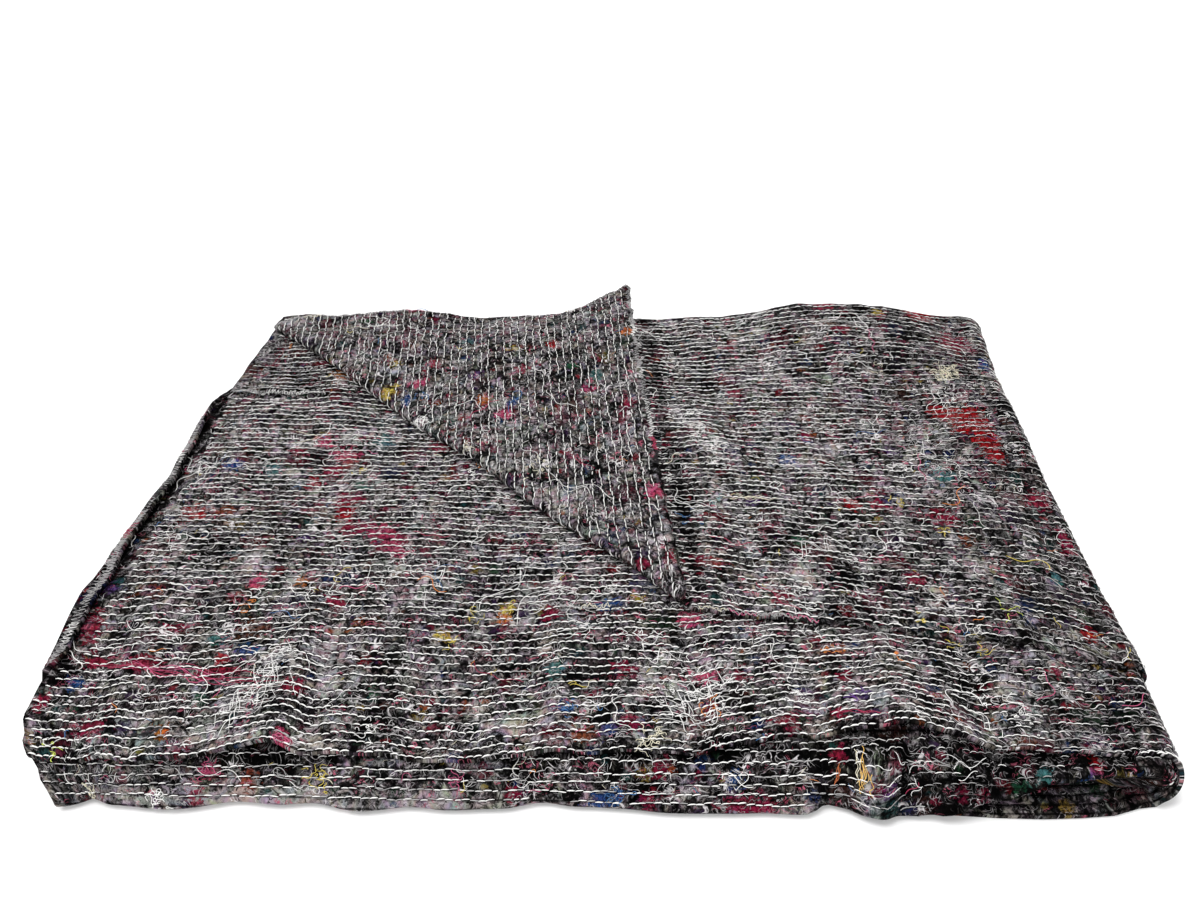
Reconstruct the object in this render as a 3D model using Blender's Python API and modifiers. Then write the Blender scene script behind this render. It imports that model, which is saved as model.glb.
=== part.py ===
"""A stitch-bonded recycled-felt moving blanket, folded to eight layers.

One rectangular cloth is pleated into four strips front to back, then closed
like a book at its right side. The front left corner of the top layer is
turned back over the stack, so it shows the underside of the cloth.

x runs left to right along the stitch rows, y front to back, z up from the
surface that the stack lies on. Metres.
"""
import math
from collections import namedtuple

import bmesh
import bpy
from mathutils import Vector

# ---------------------------------------------------------------- sizes
CLOTH = 0.0030            # thickness of the felt
PITCH = 0.0052            # middle of one layer to the middle of the next
LAYERS = 8
MIDDLE = CLOTH / 2 + PITCH * (LAYERS - 1) / 2   # height of the book's mid-plane
TOP_N = PITCH * 3.5       # strip A, top and outermost: distance from the mid-plane
SPINE_X = 0.353           # axis of the book fold on the right
BACK_Y = 0.4850           # axis of the two wraps at the back
FRONT_BEND = 0.012        # radius with which the front fold nods over
FRONT_START = 0.003       # where the nod begins
CREASE_FRONT = Vector((0.066, 0.109))   # turned-back corner: crease ends
CREASE_BACK = Vector((-0.345, 0.474))
CREASE_RADIUS = 0.0033

# Outline seen from above: the free left edge, and how far the right fold
# bulges past its straight line.
Outline = namedtuple("Outline", "y left bulge")
OUTLINE = [
    Outline(-0.036, -0.353, 0.001),
    Outline(-0.012, -0.367, 0.000),
    Outline(0.000, -0.373, 0.000),
    Outline(0.025, -0.382, 0.001),
    Outline(0.060, -0.386, 0.002),
    Outline(0.106, -0.389, 0.001),
    Outline(0.150, -0.384, 0.000),
    Outline(0.200, -0.380, 0.000),
    Outline(0.250, -0.374, 0.000),
    Outline(0.365, -0.373, 0.002),
    Outline(0.400, -0.365, 0.004),
    Outline(0.430, -0.357, 0.006),
    Outline(0.460, -0.350, 0.009),
    Outline(0.490, -0.344, 0.012),
]
# How far the free ends lie inside that outline, strip by strip.
Inset = namedtuple("Inset", "k upper lower")
INSET = [
    Inset(0.5, 0.006, 0.007),
    Inset(1.5, 0.003, 0.010),
    Inset(2.5, 0.000, 0.014),
    Inset(3.5, 0.006, 0.019),
]

# The front of the strips, station by station along the rows. "run" is the
# distance along the upper half (x) and, past the spine, along the lower half.
Front = namedtuple("Front", "run top_edge fold lip nod")
FRONT = [
    Front(-0.390, 0.098, -0.0330, -0.006, 1.0),
    Front(-0.330, 0.100, -0.0335, -0.010, 1.0),
    Front(-0.262, 0.103, -0.0315, -0.008, 1.0),
    Front(-0.214, 0.104, -0.0300, 0.000, 1.0),
    Front(-0.185, 0.105, -0.0315, -0.006, 1.0),
    Front(-0.060, 0.107, -0.0305, -0.009, 1.0),
    Front(-0.030, 0.108, -0.0275, -0.004, 1.0),
    Front(0.010, 0.108, -0.0300, -0.006, 1.0),
    Front(0.050, 0.109, -0.0320, -0.006, 1.0),
    Front(0.075, 0.108, -0.0320, -0.001, 1.0),
    Front(0.120, 0.103, -0.0325, 0.005, 1.0),
    Front(0.165, 0.097, -0.0295, 0.009, 1.0),
    Front(0.195, 0.093, -0.0300, 0.010, 1.0),
    Front(0.220, 0.090, -0.0230, 0.007, 0.80),
    Front(0.250, 0.087, -0.0140, 0.004, 0.45),
    Front(0.285, 0.083, -0.0070, 0.004, 0.12),
    Front(0.315, 0.078, -0.0040, 0.004, 0.0),
    Front(0.353, 0.066, -0.0020, 0.003, 0.0),
]
# Lower half, by the distance that it runs back from the spine.
LOWER_FRONT = [
    Front(0.000, 0.066, -0.0040, -0.014, 0.0),
    Front(0.040, 0.060, -0.0030, -0.022, 0.0),
    Front(0.062, 0.057, 0.0060, -0.023, 0.0),
    Front(0.085, 0.055, 0.0100, -0.024, 0.0),
    Front(0.133, 0.045, 0.0100, -0.022, 0.0),
    Front(0.158, 0.040, 0.0100, 0.006, 0.0),
    Front(0.190, 0.035, 0.0100, 0.008, 0.0),
    Front(0.740, 0.030, 0.0100, 0.008, 0.0),
]

# Swells and sags of the upper layers. "n" is the level the height is given at.
Swell = namedtuple("Swell", "name n x y half_x half_y height")
SWELLS = [
    Swell("puffed back fold", TOP_N, 0.245, 0.490, 0.110, 0.090, 0.0215),
    Swell("top layer's front", TOP_N, 0.200, 0.110, 0.180, 0.045, 0.0025),
    Swell("top layer's sag", TOP_N, 0.170, 0.290, 0.150, 0.090, -0.0020),
    Swell("lip arch", PITCH * 2.5, 0.192, -0.005, 0.048, 0.048, 0.0095),
    Swell("small lip arch", PITCH * 2.5, -0.214, -0.005, 0.022, 0.030, 0.0030),
    Swell("front left swell", PITCH * 2.5, -0.250, 0.120, 0.120, 0.070, 0.0020),
    Swell("left valley", PITCH * 2.5, -0.350, 0.060, 0.020, 0.045, -0.0020),
]
PUCKER_X = 0.175          # upright pucker in the front fold
PUCKER_HALF = 0.0100
PUCKER_OUT = 0.0080

# ------------------------------------------------- stations of the mesh
X_STATIONS = (
    [-0.385, -0.377, -0.366]
    + [-0.340 + 0.0345 * i for i in range(14)]
    + [0.145, 0.1575, 0.1655, 0.1725, 0.180, 0.1885, 0.200]
    + [0.216, 0.234, 0.253, 0.274, 0.297, 0.325, SPINE_X]
)
SPINE_STEPS = 7
LOWER_STEPS = 8


def between(table, key, value, at):
    """Value column of a table at a given place, eased from row to row."""
    rows = sorted(table, key=lambda r: getattr(r, key))
    if at <= getattr(rows[0], key):
        return getattr(rows[0], value)
    for low, high in zip(rows, rows[1:]):
        start, end = getattr(low, key), getattr(high, key)
        if at <= end:
            t = (at - start) / (end - start)
            t = t * t * (3 - 2 * t)
            return getattr(low, value) * (1 - t) + getattr(high, value) * t
    return getattr(rows[-1], value)


def ease(start, end, at):
    t = min(1.0, max(0.0, (at - start) / (end - start)))
    return t * t * (3 - 2 * t)


def swell(x, y):
    """Height added at the top level, and scaled down towards the mid-plane."""
    total = 0.0
    for s in SWELLS:
        r = ((x - s.x) / s.half_x) ** 2 + ((y - s.y) / s.half_y) ** 2
        total += s.height * TOP_N / s.n * math.exp(-r ** 1.5)
    return total


# --------------------------------------- one pleated section, front to back
# Each station is (strip, share): the strip names the stretch of cloth and
# the share says how far along it the station lies.
def section_stations():
    stations = []
    rows = (
        ("A", [0, .05, .14, .25, .36, .47, .58, .69, .80, .90, 1]),
        ("outer wrap", [1 / 5, 2 / 5, 3 / 5, 4 / 5, 1]),
        ("D", [.10, .25, .42, .60, .77, .895, .93, .965, 1]),
        ("front fold", [1 / 4, 2 / 4, 3 / 4, 1]),
        ("C", [.035, .07, .105, .23, .40, .58, .75, .90, 1]),
        ("inner wrap", [1 / 4, 2 / 4, 3 / 4, 1]),
        ("B", [.10, .25, .39, .52, .64, .74, .82, .88, .93, .97, 1]),
    )
    for strip, shares in rows:
        for share in shares:
            stations.append((strip, share))
    return stations


def section(strip, share, front):
    """Place (y, n) of a station in the flat pleated section."""
    n_a, n_b, n_c, n_d = (PITCH * k for k in (3.5, 2.5, 1.5, 0.5))
    if strip == "A":
        return front.top_edge + (BACK_Y - front.top_edge) * share, n_a
    if strip == "outer wrap":
        turn = math.pi * share
        radius = (n_a - n_d) / 2
        return BACK_Y + radius * math.sin(turn), (n_a + n_d) / 2 + radius * math.cos(turn)
    if strip == "D":
        return BACK_Y + (front.fold - BACK_Y) * share, n_d
    if strip == "front fold":
        turn = math.pi * share
        radius = (n_c - n_d) / 2
        return front.fold - radius * math.sin(turn), (n_c + n_d) / 2 - radius * math.cos(turn)
    if strip == "C":
        return front.fold + (BACK_Y - front.fold) * share, n_c
    if strip == "inner wrap":
        turn = math.pi * share
        radius = (n_b - n_c) / 2
        return BACK_Y + radius * math.sin(turn), (n_b + n_c) / 2 - radius * math.cos(turn)
    return BACK_Y + (front.lip - BACK_Y) * share, n_b


def front_at(table, run):
    return Front(run, *(between(table, "run", name, run) for name in Front._fields[1:]))


def nod_slope(reach, drop):
    """Slope at which cloth of a given reach comes down by a given drop."""
    low, high = 0.0, math.radians(85)
    for _ in range(30):
        slope = (low + high) / 2
        fall = FRONT_BEND * (1 - math.cos(slope))
        fall += max(0.0, reach - FRONT_BEND * slope) * math.sin(slope)
        low, high = (slope, high) if fall < drop else (low, slope)
    return slope


def nod(x, y, z, front):
    """Bends the front fold of strips C and D down towards the surface."""
    level = MIDDLE + PITCH           # middle of the pair
    if front.nod <= 0 or y >= FRONT_START:
        return y, z
    drop = (level - PITCH / 2 - CLOTH / 2 - 0.0003) * front.nod
    slope = nod_slope(FRONT_START - front.fold, drop)
    along = FRONT_START - y
    across = z - level
    angle = min(along / FRONT_BEND, slope)
    straight = max(0.0, along - FRONT_BEND * slope)
    y = FRONT_START - FRONT_BEND * math.sin(angle) - straight * math.cos(slope)
    z = level - FRONT_BEND * (1 - math.cos(angle)) - straight * math.sin(slope)
    y -= across * math.sin(angle)
    z += across * math.cos(angle)
    out = PUCKER_OUT * math.exp(-((x - PUCKER_X) / PUCKER_HALF) ** 2)
    return y - out * ease(0.0, 0.010, along), z


def left_edge(strip_n, y):
    """Free left edge of the upper half: strip A is cut on its own line."""
    k = strip_n / PITCH
    outer = between(OUTLINE, "y", "left", y)
    own = max(-0.370 + 0.025 * (y - 0.106) / 0.368, outer + 0.002)
    t = max(0.0, k - 2.5)
    return (outer + between(INSET, "k", "upper", min(k, 2.5))) * (1 - t) + own * t


def lay(column, strip, share):
    """Place of one mesh vertex in the folded blanket, corner not yet turned."""
    last_top = len(X_STATIONS) - 1
    if column <= last_top:                       # upper half
        x = X_STATIONS[column]
        front = front_at(FRONT, x)
        y, n = section(strip, share, front)
        edge = left_edge(n, y)
        reach = ease(-0.300, X_STATIONS[0], x)
        x += (edge - X_STATIONS[0]) * reach
        z = MIDDLE + n
        if strip in ("C", "D", "front fold"):
            y, z = nod(x, y, z, front)
        x += between(OUTLINE, "y", "bulge", y) * ease(0.15, 0.33, x)
        lift = swell(x, y) * n / TOP_N * ease(0.002, 0.018, z)
        if strip == "B":                         # curled edge with its groove
            inside = x - edge
            along = ease(0.05, 0.10, y) * (1 - ease(0.35, 0.37, y))
            lift -= 0.0009 * along * math.exp(-((inside - 0.009) / 0.005) ** 2)
            lift += 0.0008 * along * math.exp(-(inside / 0.005) ** 2)
        return Vector((x, y, z + lift))
    if column <= last_top + SPINE_STEPS:         # book fold on the right
        turn = math.pi * (column - last_top) / SPINE_STEPS
        share_down = (1 - math.cos(turn)) / 2
        high, low = front_at(FRONT, SPINE_X), front_at(LOWER_FRONT, 0.0)
        mixed = Front(0.0, *(a * (1 - share_down) + b * share_down
                             for a, b in zip(high[1:], low[1:])))
        y, n = section(strip, share, mixed)
        x = SPINE_X + n * math.sin(turn)
        x += between(OUTLINE, "y", "bulge", y)
        z = MIDDLE + n * math.cos(turn)
        lift = swell(x, y) * max(0.0, n * math.cos(turn)) / TOP_N
        return Vector((x, y, z + lift))
    # lower half, flat on the surface
    part = (column - last_top - SPINE_STEPS) / LOWER_STEPS
    end = SPINE_X + 0.368
    run = end * part ** 1.5
    front = front_at(LOWER_FRONT, run)
    y, n = section(strip, share, front)
    end = SPINE_X - between(OUTLINE, "y", "left", y) - between(INSET, "k", "lower", n / PITCH)
    run *= 1 + (end / (SPINE_X + 0.368) - 1) * ease(0.3, 0.7, run)
    x = SPINE_X - run
    x += between(OUTLINE, "y", "bulge", y) * ease(0.15, 0.33, x)
    z = MIDDLE - n
    if strip == "B":                             # lies down in front of strip A
        z -= PITCH * ease(0.004, 0.030, front.top_edge - y)
    return Vector((x, y, z))


# ------------------------------------------------------------ build it
for old in list(bpy.data.objects):
    bpy.data.objects.remove(old, do_unlink=True)

stations = section_stations()
columns = len(X_STATIONS) + SPINE_STEPS + LOWER_STEPS

cloth = bmesh.new()
mark = cloth.faces.layers.int.new("top")
bmesh.ops.create_grid(cloth, x_segments=columns - 1, y_segments=len(stations) - 1, size=0.5)
place = {}
for vert in cloth.verts:
    column = round((vert.co.x + 0.5) * (columns - 1))
    row = round((vert.co.y + 0.5) * (len(stations) - 1))
    place[vert] = (column, row)
top_rows = sum(1 for strip, _ in stations if strip == "A")
top_faces = [f for f in cloth.faces
             if all(place[v][0] < len(X_STATIONS) and place[v][1] < top_rows for v in f.verts)]
for vert, (column, row) in place.items():
    vert.co = lay(column, *stations[row])

# Cut the top layer along the crease, so that it can roll over there.
along_crease = (CREASE_BACK - CREASE_FRONT).normalized()
outward = Vector((-along_crease.y, along_crease.x))
if outward.x > 0:
    outward = -outward
roll = math.pi * CREASE_RADIUS
cuts = [roll * k / 5 for k in range(6)] + [roll + 0.020]
for face in top_faces:
    face[mark] = 1
for offset in cuts:
    faces = [f for f in cloth.faces if f[mark] == 1]
    edges = {e for f in faces for e in f.edges}
    verts = {v for f in faces for v in f.verts}
    spot = CREASE_FRONT + outward * offset
    bmesh.ops.bisect_plane(
        cloth, geom=list(verts) + list(edges) + faces, dist=0.0008,
        plane_co=Vector((spot.x, spot.y, 0)), plane_no=Vector((outward.x, outward.y, 0)))

flap = {v for f in cloth.faces if f[mark] == 1 for v in f.verts}
for vert in flap:
    flat = Vector((vert.co.x, vert.co.y)) - CREASE_FRONT
    past = flat.dot(outward)
    if past <= 1e-6:
        continue
    foot = CREASE_FRONT + along_crease * flat.dot(along_crease)
    turn = min(past / CREASE_RADIUS, math.pi)
    spot = foot + outward * (CREASE_RADIUS * math.sin(turn) - max(0.0, past - roll))
    settled = ease(0.0, 0.030, past - roll)
    rise = CREASE_RADIUS * (1 - math.cos(turn))
    rise += (PITCH - 2 * CREASE_RADIUS) * settled
    # past the back fold the corner hangs a little, but for its tip
    behind = ease(0.491, 0.532, spot.y)
    hang = -0.022 * behind * (1 - ease(-0.070, 0.000, spot.x))
    tip = 0.006 * ease(0.42, 0.535, spot.y) * ease(-0.10, 0.01, spot.x)
    here = min(spot.y, BACK_Y)
    vert.co = Vector((spot.x, spot.y, MIDDLE + TOP_N + swell(spot.x, here) + rise + hang + tip))

bmesh.ops.recalc_face_normals(cloth, faces=cloth.faces)
low, high = (Vector(pick(v.co[i] for v in cloth.verts) for i in range(3)) for pick in (min, max))
middle = (low + high) / 2
for vert in cloth.verts:
    vert.co.x -= middle.x
    vert.co.y -= middle.y

mesh = bpy.data.meshes.new("blanket")
cloth.to_mesh(mesh)
cloth.free()
blanket = bpy.data.objects.new("blanket", mesh)
group = bpy.data.collections.new("moving blanket")
bpy.context.scene.collection.children.link(group)
group.objects.link(blanket)

thickness = blanket.modifiers.new("felt", "SOLIDIFY")
thickness.thickness = CLOTH
thickness.offset = 0.0
thickness.use_even_offset = True

felt = bpy.data.materials.new("recycled felt")
felt.use_nodes = True
shader = felt.node_tree.nodes["Principled BSDF"]
shader.inputs["Base Color"].default_value = (0.105, 0.098, 0.100, 1)
shader.inputs["Roughness"].default_value = 0.95
shader.inputs["Metallic"].default_value = 0.0
mesh.materials.append(felt)
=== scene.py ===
import math
from collections import namedtuple

import bmesh
import bpy
import numpy as np
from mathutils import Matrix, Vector
from mathutils.bvhtree import BVHTree


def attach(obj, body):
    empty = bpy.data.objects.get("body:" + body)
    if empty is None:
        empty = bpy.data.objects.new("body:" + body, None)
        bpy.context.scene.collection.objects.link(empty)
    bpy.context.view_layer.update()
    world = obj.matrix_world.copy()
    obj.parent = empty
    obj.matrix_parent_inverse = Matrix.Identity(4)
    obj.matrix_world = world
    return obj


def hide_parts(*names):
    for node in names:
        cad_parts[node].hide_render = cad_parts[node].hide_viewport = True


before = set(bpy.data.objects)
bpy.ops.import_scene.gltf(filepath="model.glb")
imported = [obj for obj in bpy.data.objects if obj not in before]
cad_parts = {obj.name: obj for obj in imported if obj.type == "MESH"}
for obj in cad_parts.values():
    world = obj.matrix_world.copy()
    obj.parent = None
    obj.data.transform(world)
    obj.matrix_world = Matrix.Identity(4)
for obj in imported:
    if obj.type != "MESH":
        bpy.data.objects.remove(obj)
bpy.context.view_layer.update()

# ---------------------------------------------------------------------------
# The folded cloth. One rectangle of stitch-bonded felt made from torn-up rags,
# pleated into four strips (A to D, from the top) and closed like a book at its
# right side. The top layer's front left corner is turned back.
# ---------------------------------------------------------------------------
CLOTH = 0.0030                          # thickness of the felt
PITCH = 0.0052                          # from one layer to the next
LEVEL = {"A": PITCH * 3.5, "B": PITCH * 2.5, "C": PITCH * 1.5, "D": PITCH * 0.5}
TOP_N = LEVEL["A"]                      # the top layer's height over the book's mid-plane
MIDDLE = CLOTH / 2 + TOP_N              # the mid-plane's height over the floor
FLOOR_GAP = 0.0003
SPINE_X = 0.353                         # axis of the book fold
BACK_Y = 0.4850                         # axis of the two wraps at the back
LEFT_X = -0.385                         # left edge of the cut
LOWER_END = 0.368                       # the lower half ends this far to the left
TOP_CUT = 0.109                         # front edge of the top layer
FOLD_Y = -0.031                         # front fold
FRONT_BEND, FRONT_START = 0.012, 0.003  # the front nods over with this radius, from here
CREASE_FRONT, CREASE_BACK = np.array((0.066, 0.109)), np.array((-0.345, 0.474))
CREASE_RADIUS = 0.0033
PUCKER_X, PUCKER_HALF, PUCKER_OUT = 0.170, 0.0125, 0.0090
CENTRE = Vector((-0.0025192, 0.2523469, 0.0))   # the shared frame's origin
ROW_FRONT, ROW_BACK = 0.0061, 0.0067    # between two stitch rows, at the front and at the back
CORNER_ROW = 0.0070                     # and on the turned-back corner
ANY_PHASE = 6.28                        # a full turn, for the random starts of waves
PLAIN_NUMBERS = ("k", "nod", "amount", "threads", "yarns")  # fields that aren't lengths


def metres(kind, *rows):
    """Rows of a table whose lengths are given in millimetres."""
    return [kind(*(value if field in PLAIN_NUMBERS or isinstance(value, str) else value / 1000
                   for field, value in zip(kind._fields, row))) for row in rows]


# free left edge from front to back, and how far the right side bulges out
Outline = namedtuple("Outline", "y left bulge")
OUTLINE = metres(
    Outline,
    (-36, -350, 1), (-12, -363, 0), (0, -371, 0), (20, -380, 1), (60, -381.5, 2), (106, -384.2, 1),
    (150, -378.5, 0), (200, -374.3, 0), (250, -368.5, 0), (342, -367.5, 2), (372, -358, 3),
    (400, -355.5, 4), (430, -352, 6), (460, -348, 9), (490, -344, 12))
# how far each strip's ends lie inside that outline; k is its place, from the middle up
Inset = namedtuple("Inset", "k upper lower")
INSET = metres(Inset, (0.5, 4, 7), (1.5, 2, 10), (2.5, 0, 14), (3.5, 6, 19))
# the open front, along the rows of the upper half and then of the lower half
Front = namedtuple("Front", "run top_edge fold lip nod")
FRONT = metres(
    Front,
    (-390, 98, -33, -10, 0.98), (-345, 100, -33.5, -14, 1), (-310, 101, -33, -11.5, 1),
    (-262, 103, -31.5, -8, 1), (-214, 104, -30, 0, 1), (-185, 105, -31.5, -6, 1),
    (-65, 107, -30.5, -9, 1), (-30, 108, -27.5, 0, 1), (10, 108, -30, -2, 1), (50, 109, -32, -1.5, 1),
    (75, 108, -32, 4, 1), (120, 103, -32.5, 10, 1), (165, 97, -29.5, 14, 1), (195, 93, -30, 15, 1),
    (220, 90, -25, 11.5, 0.86), (250, 87, -17.5, 6, 0.52), (285, 83, -7, 4, 0.12), (315, 78, -4, 4, 0),
    (353, 66, -2, 3, 0))
LOWER_FRONT = metres(
    Front,
    (0, 66, -4, -14, 0), (40, 60, -3, -22, 0), (62, 57, 6, -23, 0), (85, 55, 10, -24, 0),
    (133, 45, 10, -22, 0), (158, 40, 10, 6, 0), (190, 35, 10, 8, 0), (740, 30, 10, 8, 0))
# the hanging fold swings back by a few millimetres here and there
Swing = namedtuple("Swing", "x back")
SWINGS = metres(
    Swing,
    (-390, 1), (-349, 5.6), (-312, 2.4), (-274, -0.5), (-236, 2.6), (-210, 1), (-186, 3.4),
    (-155, -0.3), (-123, 1.9), (-98, 0.4), (-72, 1.2), (-47, 2), (-22, 0.3), (3, 1.8), (28, 1.8),
    (53, 2.2), (79, 2.4), (104, 3.3), (129, 2.9), (141, 5.6), (154, 3.8), (167, 3.4), (180, 1.3),
    (192, 0.9), (204, 0.2), (217, -3), (240, -1), (353, 0))
# cut edge of the second layer, curled up and over
Rim = namedtuple("Rim", "y width radius")
RIM = metres(Rim, (40, 0, 1.8), (70, 14, 2), (125, 17, 2.1), (165, 12.5, 2.6), (290, 11, 2.5),
             (347, 6.5, 2.2), (371, 0, 1.8))
Swell = namedtuple("Swell", "name n x y half_x half_y height")
SWELLS = [
    Swell("puffed back fold", LEVEL["A"], 0.245, 0.490, 0.110, 0.090, 0.0215),
    Swell("dip of the back fold", LEVEL["A"], -0.140, 0.500, 0.090, 0.055, -0.0078),
    Swell("top layer's front", LEVEL["A"], 0.200, 0.110, 0.180, 0.045, 0.0025),
    Swell("top layer's sag", LEVEL["A"], 0.170, 0.290, 0.150, 0.090, -0.0020),
    Swell("lip arch", LEVEL["B"], 0.190, -0.002, 0.048, 0.048, 0.0118),
    Swell("small lip arch", LEVEL["B"], -0.214, -0.005, 0.022, 0.030, 0.0030),
    Swell("front left swell", LEVEL["B"], -0.250, 0.120, 0.120, 0.070, 0.0020),
    Swell("left valley", LEVEL["B"], -0.350, 0.060, 0.020, 0.045, -0.0020),
]
rng = np.random.default_rng(41)
RIPPLES = [(rng.normal(0, 1 / size, 2), rng.uniform(0, ANY_PHASE), height)
           for size, height, count in ((0.030, 0.0007, 9), (0.012, 0.00035, 12), (0.006, 0.00016, 14))
           for _ in range(count)]


def eased(t):
    t = np.clip(t, 0.0, 1.0)
    return t * t * (3 - 2 * t)


def ease(start, end, at):
    return eased((at - start) / (end - start))


def between(table, key, value, at):
    """A table's value at the given places, eased from row to row."""
    keys = np.array([getattr(r, key) for r in table])
    values = np.array([getattr(r, value) for r in table])
    i = np.clip(np.searchsorted(keys, at, side="right") - 1, 0, len(keys) - 2)
    t = eased((at - keys[i]) / (keys[i + 1] - keys[i]))
    return values[i] * (1 - t) + values[i + 1] * t


def swell_and_ripple(x, y):
    """Height of the top level over a flat stack."""
    total = np.zeros(np.broadcast(x, y).shape)
    for s in SWELLS:
        r = ((x - s.x) / s.half_x) ** 2 + ((y - s.y) / s.half_y) ** 2
        total = total + s.height * TOP_N / s.n * np.exp(-r ** 1.5)
    for wave, phase, height in RIPPLES:
        total = total + height * np.sin(wave[0] * x + wave[1] * y + phase)
    return total


def left_edge(n, y):
    """Left end of the upper half; the top layer's runs straight, 25 mm inwards to the back."""
    k = n / PITCH
    outer = between(OUTLINE, "y", "left", y)
    own = np.maximum(-0.370 + 0.025 * (y - 0.106) / 0.368, outer + 0.002)
    t = np.clip(k - 2.5, 0, 1)
    return (outer + between(INSET, "k", "upper", np.minimum(k, 2.5))) * (1 - t) + own * t


def section(strip, q, fold):
    """Place (y, n) in the flat pleated section; q is y, or the turn in a fold."""
    a, b, c, d = (LEVEL[s] for s in "ABCD")
    if strip == "outer wrap":
        return BACK_Y + (a - d) / 2 * np.sin(q), (a + d) / 2 + (a - d) / 2 * np.cos(q)
    if strip == "inner wrap":
        return BACK_Y + (b - c) / 2 * np.sin(q), (b + c) / 2 - (b - c) / 2 * np.cos(q)
    if strip == "front fold":
        return fold - (c - d) / 2 * np.sin(q), (c + d) / 2 - (c - d) / 2 * np.cos(q)
    return q + 0.0 * fold, LEVEL[strip] + 0.0 * q


def round_spine(s, n):
    """Turn round the book fold, and the distance run back past it."""
    return np.clip((s - SPINE_X) / n, 0, math.pi), np.maximum(0, s - SPINE_X - math.pi * n)


def fronts(s, n):
    """The open front at distance s along the rows, on level n."""
    turn, run = round_spine(s, n)
    down = (1 - np.cos(turn)) / 2
    upper = np.minimum(s, SPINE_X)
    front = Front(run, *(between(FRONT, "run", f, upper) * (1 - down)
                         + between(LOWER_FRONT, "run", f, run) * down for f in Front._fields[1:]))
    wander = 0.0012 * np.sin(upper * 73) + 0.0008 * np.sin(upper * 171)
    return front._replace(fold=front.fold + between(SWINGS, "x", "back", upper) * (1 - down),
                          lip=front.lip + wander * (1 - down))


def nod(x, y, z, front):
    """Bends the front of the lower strips over until it reaches the floor."""
    level = MIDDLE + PITCH
    reach = FRONT_START - front.fold
    drop = (level - PITCH / 2 - CLOTH / 2 - FLOOR_GAP) * front.nod
    low, high = np.zeros_like(drop), np.full_like(drop, math.radians(85))
    for _ in range(24):                 # halves the range of slopes down to the one that fits
        slope = (low + high) / 2
        fall = FRONT_BEND * (1 - np.cos(slope))
        fall += np.maximum(0.0, reach - FRONT_BEND * slope) * np.sin(slope)
        short = fall < drop
        low, high = np.where(short, slope, low), np.where(short, high, slope)
    along = FRONT_START - y
    across = z - level
    angle = np.clip(along / FRONT_BEND, 0.0, slope)
    straight = np.maximum(0.0, along - FRONT_BEND * slope)
    y2 = FRONT_START - np.minimum(along, 0.0) - FRONT_BEND * np.sin(angle) - straight * np.cos(slope)
    z2 = level - FRONT_BEND * (1 - np.cos(angle)) - straight * np.sin(slope)
    y2 = y2 - across * np.sin(angle)
    z2 = z2 + across * np.cos(angle)
    # the upright pucker stands out of the hanging fold
    out = PUCKER_OUT * np.exp(-np.abs((x - PUCKER_X) / PUCKER_HALF) ** 2.6) * front.nod
    stand = out * ease(-0.014, 0.004, along)
    facing = np.maximum(angle, 0.0) * ease(0.0, 0.006, along)
    y2 = y2 - stand * np.sin(facing)
    z2 = z2 + 0.45 * stand * np.cos(facing)
    nods = (front.nod > 1e-4) & (along > -0.014)
    return np.where(nods, y2, y), np.where(nods, z2, z)


def curl(x, y, inside, edge, top):
    """Curls the cut edge of the second layer over, by the width in RIM."""
    width = between(RIM, "y", "width", y)
    radius = between(RIM, "y", "radius", y)
    start = edge + radius * np.sin(np.minimum(width / radius, math.pi / 2))
    back = width - inside
    angle = np.clip(back / radius, 0, math.pi)
    over = start - radius * np.sin(angle) + np.maximum(0, back - math.pi * radius)
    slid = x + (start - edge - width) * (1 - ease(0, 0.110, inside - width))
    curls = (back > 0) & top
    return (np.where(curls, over, np.where(top, slid, x)),
            np.where(curls, radius * (1 - np.cos(angle)), 0))


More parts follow.
